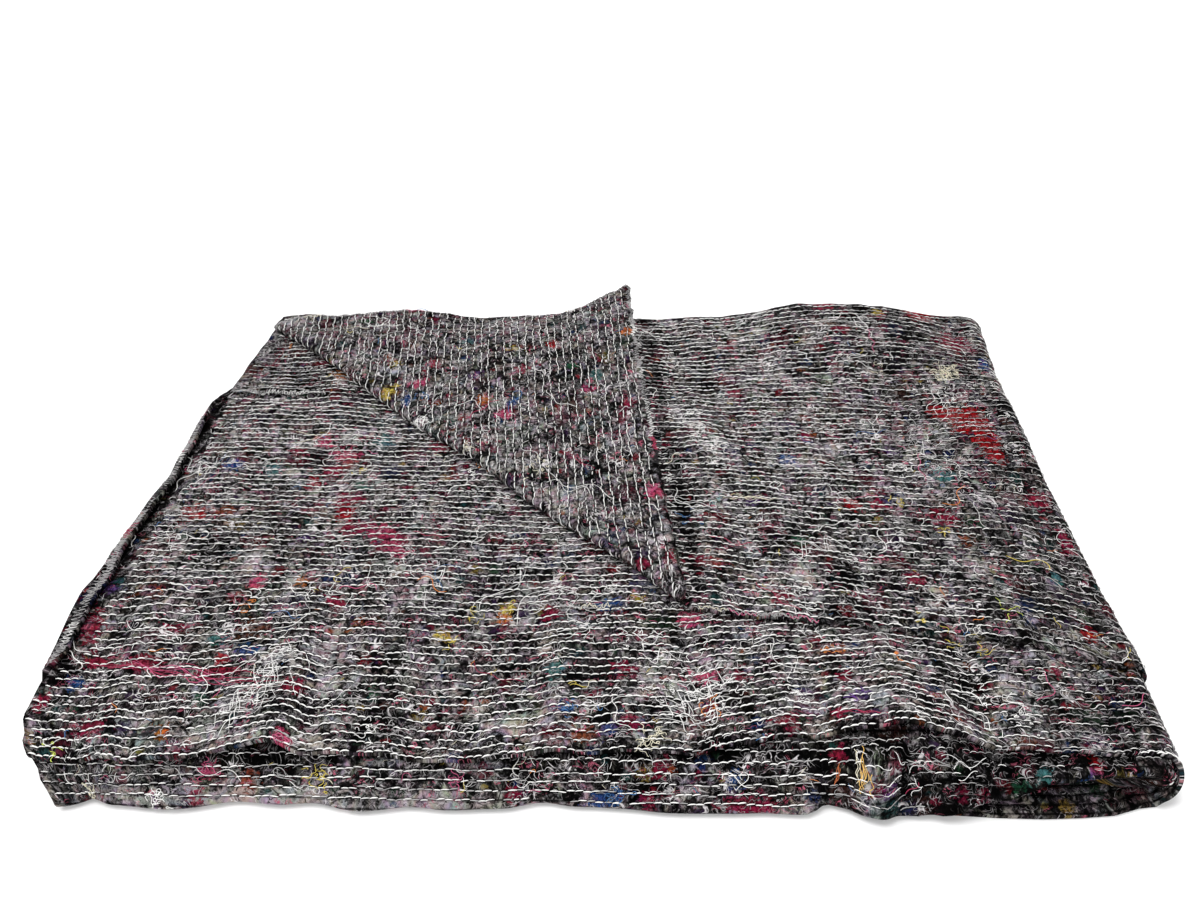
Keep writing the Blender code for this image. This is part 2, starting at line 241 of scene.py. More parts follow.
def lay(strip, q, s):
    """Where a spot of the cloth's mid-surface lies, before the corner is turned."""
    q, s = np.broadcast_arrays(np.asarray(q, float), np.asarray(s, float))
    _, n = section(strip, q, 0.0)
    front = fronts(s, n)
    y, n = section(strip, q, front.fold)
    turn, _ = round_spine(s, n)
    top, lower = s <= SPINE_X, front.run > 0
    if strip == "A":
        settled = (1 - ease(TOP_CUT, 0.130, y)) * ease(0.08, 0.18, s)
        y = y + (front.top_edge - TOP_CUT) * (1 - ease(TOP_CUT, 0.330, y))
    if strip == "B":
        y = y + front.lip * (1 - ease(0.0, 0.200, y))
    edge = left_edge(n, y)
    x = np.where(top, s + (edge - LEFT_X) * ease(-0.300, LEFT_X, s), SPINE_X + n * np.sin(turn))
    end = SPINE_X - between(OUTLINE, "y", "left", y) - between(INSET, "k", "lower", n / PITCH)
    run = front.run * (1 + (end / (SPINE_X + LOWER_END) - 1) * ease(0.3, 0.7, front.run))
    x = np.where(lower, SPINE_X - run, x)
    z = MIDDLE + n * np.cos(turn)
    if strip in ("C", "D", "front fold"):
        y2, z2 = nod(x, y, z, front)
        y, z = np.where(top, y2, y), np.where(top, z2, z)
    inside = x - edge
    if strip == "B":
        z = z - np.where(lower, PITCH * ease(0.004, 0.030, front.top_edge - y), 0)
        x, up = curl(x, y, inside, edge, top)
        z = z + up
    x = x + between(OUTLINE, "y", "bulge", y) * np.where(top | lower, ease(0.15, 0.33, x), 1.0)
    if strip == "A":                    # combed thin at the front right, and unevenly torn at its edges
        z = z - 0.0021 * settled * top
        torn_side = 0.0011 * np.sin(y * 310 + 2 * np.sin(y * 97)) + 0.0007 * np.sin(y * 520 + 1)
        x = x + torn_side * (1 - ease(LEFT_X, LEFT_X + 0.012, s))
        torn_front = 0.0010 * np.sin(s * 290 + 2 * np.sin(s * 83)) + 0.0007 * np.sin(s * 490 + 2)
        y = y + torn_front * (1 - ease(TOP_CUT, 0.121, q)) * top
    share = np.maximum(0.0, n * np.cos(turn)) / TOP_N
    lift = swell_and_ripple(x, y) * share * ease(0.002, 0.018, z)
    if strip == "B":                    # a groove beside the curled rim, and a ridge at the back left
        rim = ease(0.05, 0.10, y) * (1 - ease(0.347, 0.367, y)) * top
        beside = inside - between(RIM, "y", "width", y)
        lift = lift - 0.0012 * rim * np.exp(-((beside - 0.004) / 0.005) ** 2) * (beside > -0.001)
        far = (1 - ease(-0.300, -0.230, x)) * top
        crest = 0.3645 + 0.0022 * np.sin(x * 75) + 0.0012 * np.sin(x * 190 + 1)
        lift = lift + far * (0.0036 * np.exp(-((y - crest) / 0.0048) ** 2)
                             - 0.0012 * np.exp(-((y - crest + 0.012) / 0.0045) ** 2))
    return np.stack([x, y, z + lift], axis=-1)


along_crease = (CREASE_BACK - CREASE_FRONT) / np.linalg.norm(CREASE_BACK - CREASE_FRONT)
outward = np.array((-along_crease[1], along_crease[0]))
roll = math.pi * CREASE_RADIUS


def past_crease(spots):
    return (np.asarray(spots)[..., :2] - CREASE_FRONT) @ outward


def turn_back(spots):
    """Rolls what lies past the crease over onto the top layer; the tip hangs over the back."""
    past = past_crease(spots)
    foot = CREASE_FRONT + ((spots[..., :2] - CREASE_FRONT) @ along_crease)[..., None] * along_crease
    turn = np.clip(past / CREASE_RADIUS, 0, math.pi)
    reach = CREASE_RADIUS * np.sin(turn) - np.maximum(0.0, past - roll)
    place = foot + reach[..., None] * outward
    x, y = place[..., 0], place[..., 1]
    rise = CREASE_RADIUS * (1 - np.cos(turn))
    rise = rise + (PITCH - 2 * CREASE_RADIUS) * ease(0.0, 0.030, past - roll)
    # the tip hangs down behind the back fold, and its right end stands up a little
    hang = -0.034 * ease(0.489, 0.532, y) * (1 - np.clip((x + 0.055) / 0.070, 0, 1))
    tip = 0.007 * ease(0.42, 0.535, y) * ease(-0.06, 0.015, x)
    z = MIDDLE + TOP_N + swell_and_ripple(x, np.minimum(y, BACK_Y)) + rise + hang + tip
    turned = np.stack([x, y, z], axis=-1)
    return np.where((past > 1e-6)[..., None], turned, spots)


# where each strip starts, measured across the rows of the flat cut
V_START = {"A": 0.0, "D": 2 * BACK_Y + math.pi * PITCH * 1.5}
V_START["C"] = V_START["D"] - 2 * FOLD_Y + math.pi * PITCH / 2
V_START["B"] = V_START["C"] + 2 * BACK_Y + math.pi * PITCH / 2


def cut_v(strip, q, fold):
    """Distance across the rows in the flat cut."""
    if strip == "A":
        return q + 0.0 * fold
    if strip == "outer wrap":
        return BACK_Y + PITCH * 1.5 * q + 0.0 * fold
    if strip == "front fold":
        return V_START["C"] + fold - PITCH / 2 * (math.pi - q)
    if strip == "C":
        return V_START["C"] + q + 0.0 * fold
    if strip == "inner wrap":
        return V_START["C"] + BACK_Y + PITCH / 2 * q + 0.0 * fold
    return V_START[strip] - q + 0.0 * fold


# rows counted from the top layer's front edge, along the whole cut
CUT_LENGTH, CUT_STEP, FIRST_ROW, CORNER_V = 2.10, 0.0005, 0.55, 0.29
cut_line = np.linspace(0.0, CUT_LENGTH, round(CUT_LENGTH / CUT_STEP) + 1)
depth = np.interp(cut_line, [0.0, BACK_Y, V_START["D"] - BACK_Y, V_START["D"] - FOLD_Y,
                             V_START["C"] + FOLD_Y, V_START["C"] + BACK_Y, V_START["B"] - BACK_Y,
                             V_START["B"]],
                  [0.0, BACK_Y, BACK_Y, FOLD_Y, FOLD_Y, BACK_Y, BACK_Y, 0.0])
pitches = ROW_FRONT + (ROW_BACK - ROW_FRONT) * np.clip(depth / BACK_Y, 0, 1)
row_numbers = np.cumsum(CUT_STEP / pitches) - FIRST_ROW
ROWS_AT = np.interp(np.arange(1, int(row_numbers[-1])), row_numbers, cut_line)
corner_number = np.interp(CORNER_V, cut_line, row_numbers)

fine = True
step = 0.005 if fine else 0.010
SPINE_STEPS, LOWER_STEPS = 14, 20
rows = []                               # (strip, share of the strip's length)
for strip, count in (("A", round(0.38 / step)), ("outer wrap", 8), ("D", 22), ("front fold", 6),
                     ("C", 26), ("inner wrap", 6), ("B", round(0.49 / step))):
    for i in range(0 if strip == "A" else 1, count + 1):
        rows.append((strip, i / count))
# columns stand closest at the curled left edge and, in the fine mesh, at the pucker
EDGE_COLUMNS = (0, 0.0015, 0.003, 0.0045, 0.006, 0.0075, 0.009, 0.011, 0.013, 0.0155)
tops = np.concatenate([LEFT_X + np.array(EDGE_COLUMNS),
                       np.arange(LEFT_X + 0.019, SPINE_X - step * 0.6, step), [SPINE_X]])
if fine:
    tops = np.unique(np.round(np.concatenate([tops, np.arange(0.1515, 0.190, step)]), 5))
columns = len(tops) + SPINE_STEPS + LOWER_STEPS
lower_shares = (np.arange(1, LOWER_STEPS + 1) / LOWER_STEPS) ** 1.4

BEND_Y = 0.030                          # the two lower strips take closer rows up to here
C_BEND, D_BEND = 0.35, 0.7              # in this share of their rows
places, flats = [], []
for strip, share in rows:
    _, n = section(strip, np.full(columns, math.pi * share), 0.0)
    s = np.concatenate([tops, SPINE_X + n[0] * math.pi * np.arange(1, SPINE_STEPS + 1) / SPINE_STEPS,
                        SPINE_X + n[0] * math.pi + (SPINE_X + LOWER_END) * lower_shares])
    front = fronts(s, n)
    if strip == "A":
        q = TOP_CUT + (BACK_Y - TOP_CUT) * share + 0 * s
    elif strip == "B":
        q = BACK_Y * (1 - share) + 0 * s
    elif strip == "C":
        bend = min(1.0, share / C_BEND)
        q = (front.fold + (BEND_Y - front.fold) * bend
             + (BACK_Y - BEND_Y) * max(0.0, share - C_BEND) / (1 - C_BEND))
    elif strip == "D":
        bend = max(0.0, (share - D_BEND) / (1 - D_BEND))
        q = BACK_Y + (BEND_Y - BACK_Y) * min(1.0, share / D_BEND) + (front.fold - BEND_Y) * bend
    else:
        q = math.pi * share + 0 * s
    places.append(lay(strip, q, s))
    flats.append(np.stack([s - LEFT_X, cut_v(strip, q, front.fold)], axis=-1))

cloth = bmesh.new()
mark = cloth.faces.layers.int.new("top")
uv = cloth.loops.layers.uv.new("cut")
bmesh.ops.create_grid(cloth, x_segments=columns - 1, y_segments=len(rows) - 1, size=0.5)
index = {v: (round((v.co.y + 0.5) * (len(rows) - 1)), round((v.co.x + 0.5) * (columns - 1)))
         for v in cloth.verts}
top_rows = sum(1 for strip, _ in rows if strip == "A")
for face in cloth.faces:
    if all(index[v][0] < top_rows and index[v][1] < len(tops) for v in face.verts):
        face[mark] = 1
    for loop in face.loops:
        row, column = index[loop.vert]
        loop[uv].uv = flats[row][column]
for vert, (row, column) in index.items():
    vert.co = places[row][column]
CREASE_CUTS = 6
for offset in [roll * k / CREASE_CUTS for k in range(CREASE_CUTS + 1)]:
    faces = [f for f in cloth.faces if f[mark] == 1]
    geometry = list({v for f in faces for v in f.verts}) + list({e for f in faces for e in f.edges}) + faces
    spot = CREASE_FRONT + outward * offset
    bmesh.ops.bisect_plane(cloth, geom=geometry, dist=0.0004,
                           plane_co=(*spot, 0), plane_no=(*outward, 0))
flap = list({v for f in cloth.faces if f[mark] == 1 for v in f.verts})
for vert, place in zip(flap, turn_back(np.array([v.co[:] for v in flap]))):
    vert.co = place
bmesh.ops.recalc_face_normals(cloth, faces=cloth.faces)
for vert in cloth.verts:
    vert.co -= CENTRE
mesh = bpy.data.meshes.new("felt_cloth")
cloth.to_mesh(mesh)
cloth.free()
mesh.shade_smooth()

# larger shreds of coloured rag, by where they lie in the flat cut, in millimetres
RAG_COLOURS = {
    "crimson": (0.235, 0.012, 0.042), "red": (0.330, 0.006, 0.012), "pink": (0.520, 0.070, 0.160),
    "rust": (0.230, 0.060, 0.030), "orange": (0.520, 0.150, 0.030), "yellow": (0.480, 0.360, 0.060),
    "green": (0.020, 0.090, 0.045), "teal": (0.060, 0.180, 0.190), "blue": (0.020, 0.075, 0.240),
    "violet": (0.075, 0.035, 0.130), "black": (0.004, 0.004, 0.005),
}
Rag = namedtuple("Rag", "u v half_u half_v")
RAGS = {
    "red": [
        (682, 340, 8, 7), (693, 335, 11, 9), (706, 330, 11, 13), (713, 321, 9, 17), (713, 304, 9, 13),
        (716, 292, 8, 12), (717, 281, 5, 7), (698, 318, 8, 9), (688, 486, 12, 13), (582, 227, 6, 6),
        (722, 129, 5, 5), (122, 1974, 3, 3), (696, 1063, 4, 3), (173, 1835, 7, 8), (136, 1798, 5, 7),
        (55, 1838, 11, 8), (111, 190, 6, 5)],
    "orange": [
        (125, 1647, 3, 13), (191, 255, 8, 3), (157, 1909, 4, 5), (100, 2026, 3, 3), (311, 1936, 3, 3),
        (96, 117, 5, 6), (191, 254, 6, 5)],
    "yellow": [
        (169, 341, 4, 7), (645, 474, 5, 6), (270, 1950, 6, 3), (313, 1927, 4, 3), (407, 1921, 4, 4),
        (113, 227, 4, 5), (167, 343, 7, 7), (123, 339, 5, 5)],
    "blue": [
        (181, 324, 8, 4), (196, 227, 5, 5), (741, 411, 3, 10), (539, 279, 6, 5), (137, 1970, 7, 4),
        (25, 1989, 6, 4), (360, 2012, 5, 3), (388, 2029, 3, 6), (387, 1040, 11, 3), (468, 1053, 5, 4),
        (657, 1040, 5, 4), (691, 1053, 6, 4), (69, 1781, 9, 6), (388, 1927, 9, 5), (197, 228, 7, 5)],
    "crimson": [
        (235, 1752, 8, 7), (137, 1799, 4, 6), (174, 1820, 10, 7), (213, 1864, 14, 6), (180, 1857, 6, 4),
        (500, 365, 7, 5), (608, 445, 7, 4), (597, 483, 9, 4), (715, 444, 13, 12), (557, 306, 4, 7),
        (603, 226, 6, 5), (652, 218, 11, 7), (616, 157, 6, 5), (734, 241, 8, 7), (741, 206, 6, 8),
        (30, 1947, 6, 12), (41, 1972, 10, 2), (73, 1975, 12, 2), (120, 1984, 15, 2), (176, 2000, 9, 3),
        (222, 1871, 8, 6), (83, 1948, 8, 4), (8, 2004, 4, 6), (49, 2022, 10, 6), (127, 1037, 5, 3),
        (345, 1934, 6, 5), (398, 1981, 7, 5), (402, 2022, 8, 3), (476, 1992, 4, 3), (504, 2032, 9, 2),
        (414, 1039, 6, 3), (328, 1042, 6, 2), (421, 1059, 3, 6), (477, 1038, 19, 2), (512, 129, 8, 7),
        (405, 136, 5, 3), (399, 115, 7, 4), (436, 124, 3, 5), (613, 157, 6, 5), (547, 1998, 3, 6),
        (538, 2030, 3, 4), (688, 1983, 3, 3), (554, 1052, 3, 4), (533, 1066, 3, 5), (169, 1821, 7, 10),
        (179, 1853, 6, 7), (190, 1852, 8, 6), (152, 1785, 10, 7), (116, 1762, 7, 5), (187, 1927, 7, 4),
        (346, 1935, 7, 6), (456, 157, 11, 5), (207, 126, 5, 7), (149, 219, 5, 7), (83, 260, 6, 6),
        (128, 300, 7, 6)],
    "teal": [
        (88, 269, 5, 7), (185, 1743, 5, 6), (665, 260, 10, 6), (718, 171, 3, 4), (115, 1958, 6, 5),
        (350, 1983, 5, 6), (661, 1057, 4, 2), (181, 1806, 7, 5), (186, 1744, 9, 8), (101, 1785, 6, 7),
        (350, 1981, 5, 6), (88, 262, 5, 10), (162, 152, 6, 6)],
    "green": [
        (178, 1804, 5, 5), (117, 2004, 5, 4), (230, 1999, 3, 4), (645, 1052, 4, 2), (535, 185, 6, 6),
        (148, 173, 6, 5), (22, 372, 6, 6)],
    "rust": [
        (162, 1775, 7, 7), (663, 197, 5, 6), (159, 1047, 6, 2), (372, 2030, 8, 6), (466, 156, 8, 3),
        (549, 1973, 4, 4), (80, 1836, 7, 6)],
    "violet": [
        (147, 1866, 5, 6), (630, 290, 6, 6), (502, 222, 6, 6), (31, 1915, 7, 4), (555, 2016, 5, 4),
        (562, 1049, 4, 3), (150, 262, 6, 6)],
    "black": [
        (640, 410, 23, 12)],
    "pink": [
        (181, 2039, 5, 6), (132, 1053, 5, 3), (108, 1069, 4, 4), (454, 1990, 6, 3), (323, 116, 6, 7),
        (205, 1858, 8, 6), (218, 1871, 9, 6), (227, 1880, 8, 5), (135, 1747, 9, 7), (126, 1910, 5, 7),
        (156, 1766, 12, 7), (445, 1939, 7, 7), (181, 160, 5, 8), (214, 236, 6, 7), (156, 314, 5, 8),
        (323, 120, 6, 6)],
}
# lighter and darker places in the felt (above and below zero): pale lint and darker felt here and there,
# and painted shade under the lip, in the front hollows, beside the pucker, along the turned corner's edge and
# at the back left ridge, with painted light on the pucker's lit side
Shade = namedtuple("Shade", "u v half_u half_v amount")
SHADES = metres(
    Shade,
    (100, 1065, 65, 3.8, -3), (170, 1064, 18, 7, -3.3), (183, 1053, 10, 7, -2.5),
    (420, 1067, 120, 3.4, -3), (351, 1067, 30, 5, -1.8), (554, 1072, 14, 3.5, -2),
    (574, 1056, 4, 18, -3.2), (553, 1052, 8, 18, 1.3), (655, 1045, 85, 30, -1.1),
    (660, 1067, 75, 4, -1.4), (70, 1679, 85, 3.5, -3), (70, 1610, 90, 40, -0.6),
    (425, 442, 6, 16, -1.8), (428, 391, 6, 16, -1.8), (432, 342, 6, 16, -1.8), (434, 300, 6, 16, -1.8),
    (439, 268, 6, 16, -1.8), (442, 233, 6, 16, -1.8), (444, 203, 6, 16, -1.8), (448, 178, 6, 16, -1.8),
    (450, 153, 6, 16, -1.8), (452, 131, 6, 16, -1.8), (130, 1034, 110, 9, 1.8), (172, 1040, 16, 8, 1.5),
    (290, 1034, 70, 7, 1.3), (408, 1047, 20, 9, -1.8), (332, 1048, 12, 7, -1.5),
    (507, 1033, 12, 8, 1.2), (614, 1053, 14, 8, -1.5), (640, 1057, 12, 7, -1.5),
    (599, 1035, 12, 7, -1.5), (693, 1034, 14, 6, 1.5), (717, 1039, 12, 9, 1.2),
    (420, 483, 12, 24, -2.2), (421, 421, 10, 22, -1.8), (428, 371, 11, 25, -2.2),
    (443, 253, 10, 18, -2), (447, 218, 10, 17, -2), (524, 187, 15, 14, -2), (627, 481, 20, 24, -2),
    (559, 155, 14, 12, -2.2), (668, 455, 18, 35, -1.8), (560, 120, 13, 12, -1.8),
    (533, 157, 14, 12, 1.5), (60, 222, 20, 30, 1.8), (10, 442, 18, 20, 1.5), (325, 196, 15, 19, 1.5),
    (245, 2019, 13, 10, -2.2), (9, 1981, 12, 10, 1.5), (7, 1876, 12, 14, 2), (630, 1999, 13, 11, -2.2),
    (657, 1999, 12, 10, 2), (85, 1877, 14, 13, -2), (419, 1989, 14, 12, 1.8), (451, 2039, 12, 7, -2),
    (512, 1985, 12, 12, 1.6), (325, 2018, 12, 10, 1.5), (725, 2011, 13, 12, -2),
    (521, 2026, 12, 10, 1.5), (117, 1890, 14, 12, 1.5), (131, 2030, 12, 12, 1.5),
    (96, 1656, 17, 22, -2), (185, 1968, 14, 12, 1.5), (389, 2034, 12, 9, -1.8), (348, 2016, 13, 9, 1.3),
    (368, 1992, 12, 10, -1.5), (199, 1988, 12, 10, 1.3), (20, 1985, 10, 9, -2),
    (274, 1973, 13, 10, 1.3), (82, 2020, 12, 9, 1.3), (567, 2025, 12, 11, 1.3), (2, 1780, 8, 120, 1),
    (745, 250, 30, 130, -0.7), (735, 1960, 30, 60, -0.7))

spot_uv = np.zeros((len(mesh.vertices), 2))
corner_uv = np.empty(len(mesh.loops) * 2)
corner_vert = np.empty(len(mesh.loops), dtype=int)
mesh.uv_layers["cut"].data.foreach_get("uv", corner_uv)
mesh.loops.foreach_get("vertex_index", corner_vert)
spot_uv[corner_vert] = corner_uv.reshape(-1, 2)
spot_u, spot_v = spot_uv.T

# each rag is a soft spot; where two of them meet, their colours mix
SMALLEST_RAG = 0.0045                   # a smaller one would fall between the sheet's points
rag_colour = np.zeros((len(spot_uv), 3))
rag_weight = np.full(len(spot_uv), 1e-9)
rag_amount = np.zeros(len(spot_uv))
for colour_name, spots in RAGS.items():
    for rag in metres(Rag, *spots):
        reach = (((spot_u - rag.u) / max(rag.half_u, SMALLEST_RAG)) ** 2
                 + ((spot_v - rag.v) / max(rag.half_v, SMALLEST_RAG)) ** 2)
        weight = np.exp(-reach * 0.8)
        rag_colour += weight[:, None] * np.array(RAG_COLOURS[colour_name])
        rag_weight += weight
        rag_amount = np.maximum(rag_amount, np.exp(-reach * 0.55))


def shade_at(u, v):
    total = np.zeros(np.broadcast(u, v).shape)
    for place in SHADES:
        total += place.amount * np.exp(-((u - place.u) / place.half_u) ** 2
                                       - ((v - place.v) / place.half_v) ** 2)
    return np.clip(total, -4, 3)


# painted shadow in the groove beside the rim that curls over, and the curled rim itself darker
rim_width = between(RIM, "y", "width", V_START["B"] - spot_v)
beside = spot_u - rim_width - 0.003
shade = shade_at(spot_u, spot_v)
shade -= (rim_width > 0.004) * (3.0 * np.exp(-(beside / 0.0045) ** 2) + 0.9 * (spot_u < rim_width - 0.001))
# what lies past the crease, of the top layer's left part only
on_flap = ((spot_v < 0.486) & (spot_u < 0.6)
           & (past_crease(lay("A", spot_v, spot_u + LEFT_X)) > roll * 0.5))
row_number = np.where(on_flap, corner_number + (spot_v - CORNER_V) / CORNER_ROW,
                      np.interp(spot_v, cut_line, row_numbers))
painted = mesh.attributes.new("rag", "FLOAT_COLOR", "POINT")
painted.data.foreach_set("color", np.c_[rag_colour / rag_weight[:, None], np.ones(len(shade))].ravel())
for name, values in (("other_face", on_flap.astype(float)), ("row_number", row_number),
                     ("rag_amount", rag_amount), ("shade", shade)):
    mesh.attributes.new(name, "FLOAT", "POINT").data.foreach_set("value", values)

felt_cloth = bpy.data.objects.new("felt_cloth", mesh)
bpy.context.scene.collection.objects.link(felt_cloth)
thickness = felt_cloth.modifiers.new("felt", "SOLIDIFY")
thickness.thickness = CLOTH
thickness.offset = 0.0
thickness.use_even_offset = True
# the top layer's front edge is combed out thin towards the right, to about a third
THIN_STEPS, THINNED = 10, 0.065
body = felt_cloth.vertex_groups.new(name="body")
edge_thin = (1 - ease(TOP_CUT, 0.119, spot_v)) * ease(0.48, 0.58, spot_u)
for level in range(THIN_STEPS + 1):
    here = np.nonzero(np.round(edge_thin * THIN_STEPS) == level)[0]
    body.add([int(k) for k in here], 1.0 - THINNED * level, "REPLACE")
thickness.vertex_group = "body"

felt = bpy.data.materials.new("rag_felt")
felt.use_nodes = True
nodes, links = felt.node_tree.nodes, felt.node_tree.links
shader = nodes["Principled BSDF"]
shader.inputs["Roughness"].default_value = 0.95
shader.inputs["Specular IOR Level"].default_value = 0.02
cut = nodes.new("ShaderNodeUVMap")
cut.uv_map = "cut"


def set_or_link(socket, value):
    if isinstance(value, tuple):
        socket.default_value = (*value, 1) if len(socket.default_value) == 4 else value
    elif isinstance(value, (int, float)):
        socket.default_value = value
    else:
        links.new(value, socket)


def calc(operation, *values, kind="ShaderNodeMath"):
    made = nodes.new(kind)
    made.operation = operation
    for socket, value in zip(made.inputs, values):
        set_or_link(socket, value)
    return made.outputs[0]


def calc_colour(operation, *values):
    return calc(operation, *values, kind="ShaderNodeVectorMath")


def stretched(size_u, size_v, turn=0.0, shift=0.0):
    """Cut coordinates measured in grains of the given size."""
    mapping = nodes.new("ShaderNodeMapping")
    links.new(cut.outputs["UV"], mapping.inputs["Vector"])
    mapping.inputs["Scale"].default_value = (1 / size_u, 1 / size_v, 1)
    mapping.inputs["Rotation"].default_value = (0, 0, turn)
    mapping.inputs["Location"].default_value = (shift, shift * 0.7, 0)
    return mapping.outputs["Vector"]


def noise(size_u, size_v, detail=2.0, rough=0.5, shift=0.0, turn=0.0, curl=0.0, out="Fac"):
    made = nodes.new("ShaderNodeTexNoise")
    made.noise_dimensions = "2D"
    links.new(stretched(size_u, size_v, turn, shift), made.inputs["Vector"])
    for name, value in (("Scale", 1.0), ("Detail", detail), ("Roughness", rough), ("Distortion", curl)):
        made.inputs[name].default_value = value
    return made.outputs[out]


def cells(place, feature="F1"):
    made = nodes.new("ShaderNodeTexVoronoi")
    made.voronoi_dimensions = "2D"
    made.feature = feature
    made.inputs["Scale"].default_value = 1.0
    links.new(place, made.inputs["Vector"])
    return made.outputs


def parts_of(colour):
    made = nodes.new("ShaderNodeSeparateColor")
    links.new(colour, made.inputs[0])
    return made.outputs


def ramp(value, low, high):
    made = nodes.new("ShaderNodeMapRange")
    made.interpolation_type = "SMOOTHSTEP"
    for name, given in (("Value", value), ("From Min", low), ("From Max", high)):
        set_or_link(made.inputs[name], given)
    return made.outputs["Result"]


def mixed(base, over, share):
    made = nodes.new("ShaderNodeMix")
    made.data_type = "RGBA"
    for socket, value in ((made.inputs[0], share), (made.inputs[6], base), (made.inputs[7], over)):
        set_or_link(socket, value)
    return made.outputs[2]


def tones(value, table, kind="LINEAR"):
    made = nodes.new("ShaderNodeValToRGB")
    links.new(value, made.inputs[0])
    made.color_ramp.interpolation = kind
    stops = made.color_ramp.elements
    for k, (position, tone) in enumerate(table):
        stop = stops[k] if k < 2 else stops.new(position)
        stop.position = position
        stop.color = (*tone, 1)
    return made.outputs[0]


def grey(value):
    return (value * 1.03, value * 0.98, value * 1.0)


def strand(value, level, width):
    """Thin winding line where a noise passes a level."""
    return ramp(calc("ABSOLUTE", calc("SUBTRACT", value, level)), width, width * 0.4)


def painted_value(name, out="Fac"):
    made = nodes.new("ShaderNodeAttribute")
    made.attribute_name = name
    return made.outputs[out]


# rows that wander a little, with the felt puffed up between them
wander = noise(0.030, 0.014, 1.0, 0.5, 21.0)
across = calc("MULTIPLY_ADD", wander, 0.26, calc("SUBTRACT", painted_value("row_number"), 0.13))
wave = calc("ABSOLUTE", calc("SINE", calc("MULTIPLY", across, math.pi)))
puff = calc("POWER", wave, 0.6)

# mottled grey, from single fibres up to whole drifts of lighter and darker rag
fine_fibre = noise(0.0021, 0.0027, 3.0, 0.62, 1.3, 0.0, 0.8)
clump = noise(0.0088, 0.0110, 4.0, 0.58, 4.1, 0.0, 0.9)
drift = noise(0.030, 0.034, 3.0, 0.55, 7.7, 0.0, 0.5)
shaded = painted_value("shade")
other_face = painted_value("other_face")
tone = calc("MULTIPLY_ADD", fine_fibre, 0.20,
            calc("MULTIPLY_ADD", clump, 0.47, calc("MULTIPLY", drift, 0.33)))
# painted light on the puffs between the rows, and the painted light and shade of the shade marks
tone = calc("MULTIPLY_ADD", puff, 0.035, calc("MULTIPLY_ADD", shaded, 0.062, tone))
patch = calc("MULTIPLY_ADD", noise(0.0120, 0.0140, 2.0, 0.55, 41.0, 0.3, 1.0), 0.48, -0.226)
tone = calc("MULTIPLY_ADD", other_face, patch, tone)
colour = tones(tone, [(0.468, grey(0.001)), (0.500, grey(0.003)), (0.527, grey(0.018)),
                      (0.554, grey(0.085)), (0.584, grey(0.26)), (0.620, grey(0.60))])

# small lumps with cracks between, larger and deeper on the other face
lump_place = calc_colour("MULTIPLY_ADD", noise(0.0050, 0.0050, 3.0, 0.6, 33.0, out="Color"), (1.1, 1.1, 0),
                         stretched(0.0066, 0.0098, 0.15, 31.0))
lump_place = calc_colour("MULTIPLY", lump_place, calc("MULTIPLY_ADD", other_face, -0.40, 1.0))
lump_tone = tones(parts_of(cells(lump_place)["Color"])[0],
                  [(0.0, grey(0.003)), (0.30, grey(0.013)), (0.60, grey(0.070)),
                   (0.85, grey(0.24)), (1.0, grey(0.50))])
colour = mixed(colour, lump_tone, calc("MULTIPLY", calc("MULTIPLY_ADD", other_face, 0.30, 0.40),
                                       ramp(fine_fibre, 0.34, 0.60)))
crack = calc("MULTIPLY", ramp(cells(lump_place, "DISTANCE_TO_EDGE")["Distance"], 0.12, 0.01),
             calc("MULTIPLY_ADD", other_face, 0.45, 0.42))
colour = mixed(colour, grey(0.001), crack)

# pale wisps of lint over the darker rag, and dark pits; both follow the shade marks, so they carry painted
# light and shade too
wisp = calc("MULTIPLY_ADD", shaded, 0.07, noise(0.0105, 0.0100, 4.0, 0.65, 17.2, 0.5, 1.6))
colour = mixed(colour, grey(0.55), calc("MULTIPLY", ramp(wisp, 0.57, 0.68), 0.72))
pit = calc("MULTIPLY_ADD", shaded, -0.07, noise(0.0080, 0.0088, 6.0, 0.68, 19.6, 0.8, 0.8))
colour = mixed(colour, grey(0.001), calc("MULTIPLY", ramp(pit, 0.51, 0.60), 0.93))

# shreds of coloured rag among the grey, a few millimetres to two centimetres long
RAG = [(0.0, (0.21, 0.012, 0.040)), (0.16, (0.24, 0.012, 0.022)), (0.25, (0.21, 0.050, 0.085)),
       (0.35, (0.014, 0.040, 0.13)), (0.46, (0.016, 0.070, 0.075)), (0.55, (0.30, 0.22, 0.05)),
       (0.60, (0.045, 0.020, 0.075)), (0.70, (0.34, 0.09, 0.03)), (0.74, (0.022, 0.065, 0.035)),
       (0.81, (0.080, 0.030, 0.022)), (0.92, (0.32, 0.14, 0.19))]
Shred = namedtuple("Shred", "size_u size_v shift part strength")
ragged = noise(0.0040, 0.0030, 3.0, 0.6, 9.9, out="Color")
for shred in (Shred(0.0068, 0.0062, 2.2, 0.07, 0.80), Shred(0.0120, 0.0105, 5.1, 0.09, 0.80),
              Shred(0.0240, 0.0200, 8.4, 0.16, 0.36)):
    shreds = cells(calc_colour("MULTIPLY_ADD", ragged, (0.9, 0.9, 0),
                               stretched(shred.size_u, shred.size_v, 0.12, shred.shift)))
    picked = parts_of(shreds["Color"])
    chosen = ramp(picked[1], 1 - shred.part - 0.01, 1 - shred.part)
    core = ramp(shreds["Distance"], 0.60, 0.25)
    share = calc("MULTIPLY", calc("MULTIPLY", chosen, core), shred.strength)
    share = calc("MULTIPLY", share, ramp(fine_fibre, 0.38, 0.54))
    colour = mixed(colour, tones(picked[0], RAG, "CONSTANT"), share)
torn = noise(0.0060, 0.0042, 3.0, 0.6, 23.3, 0.2, 0.8)
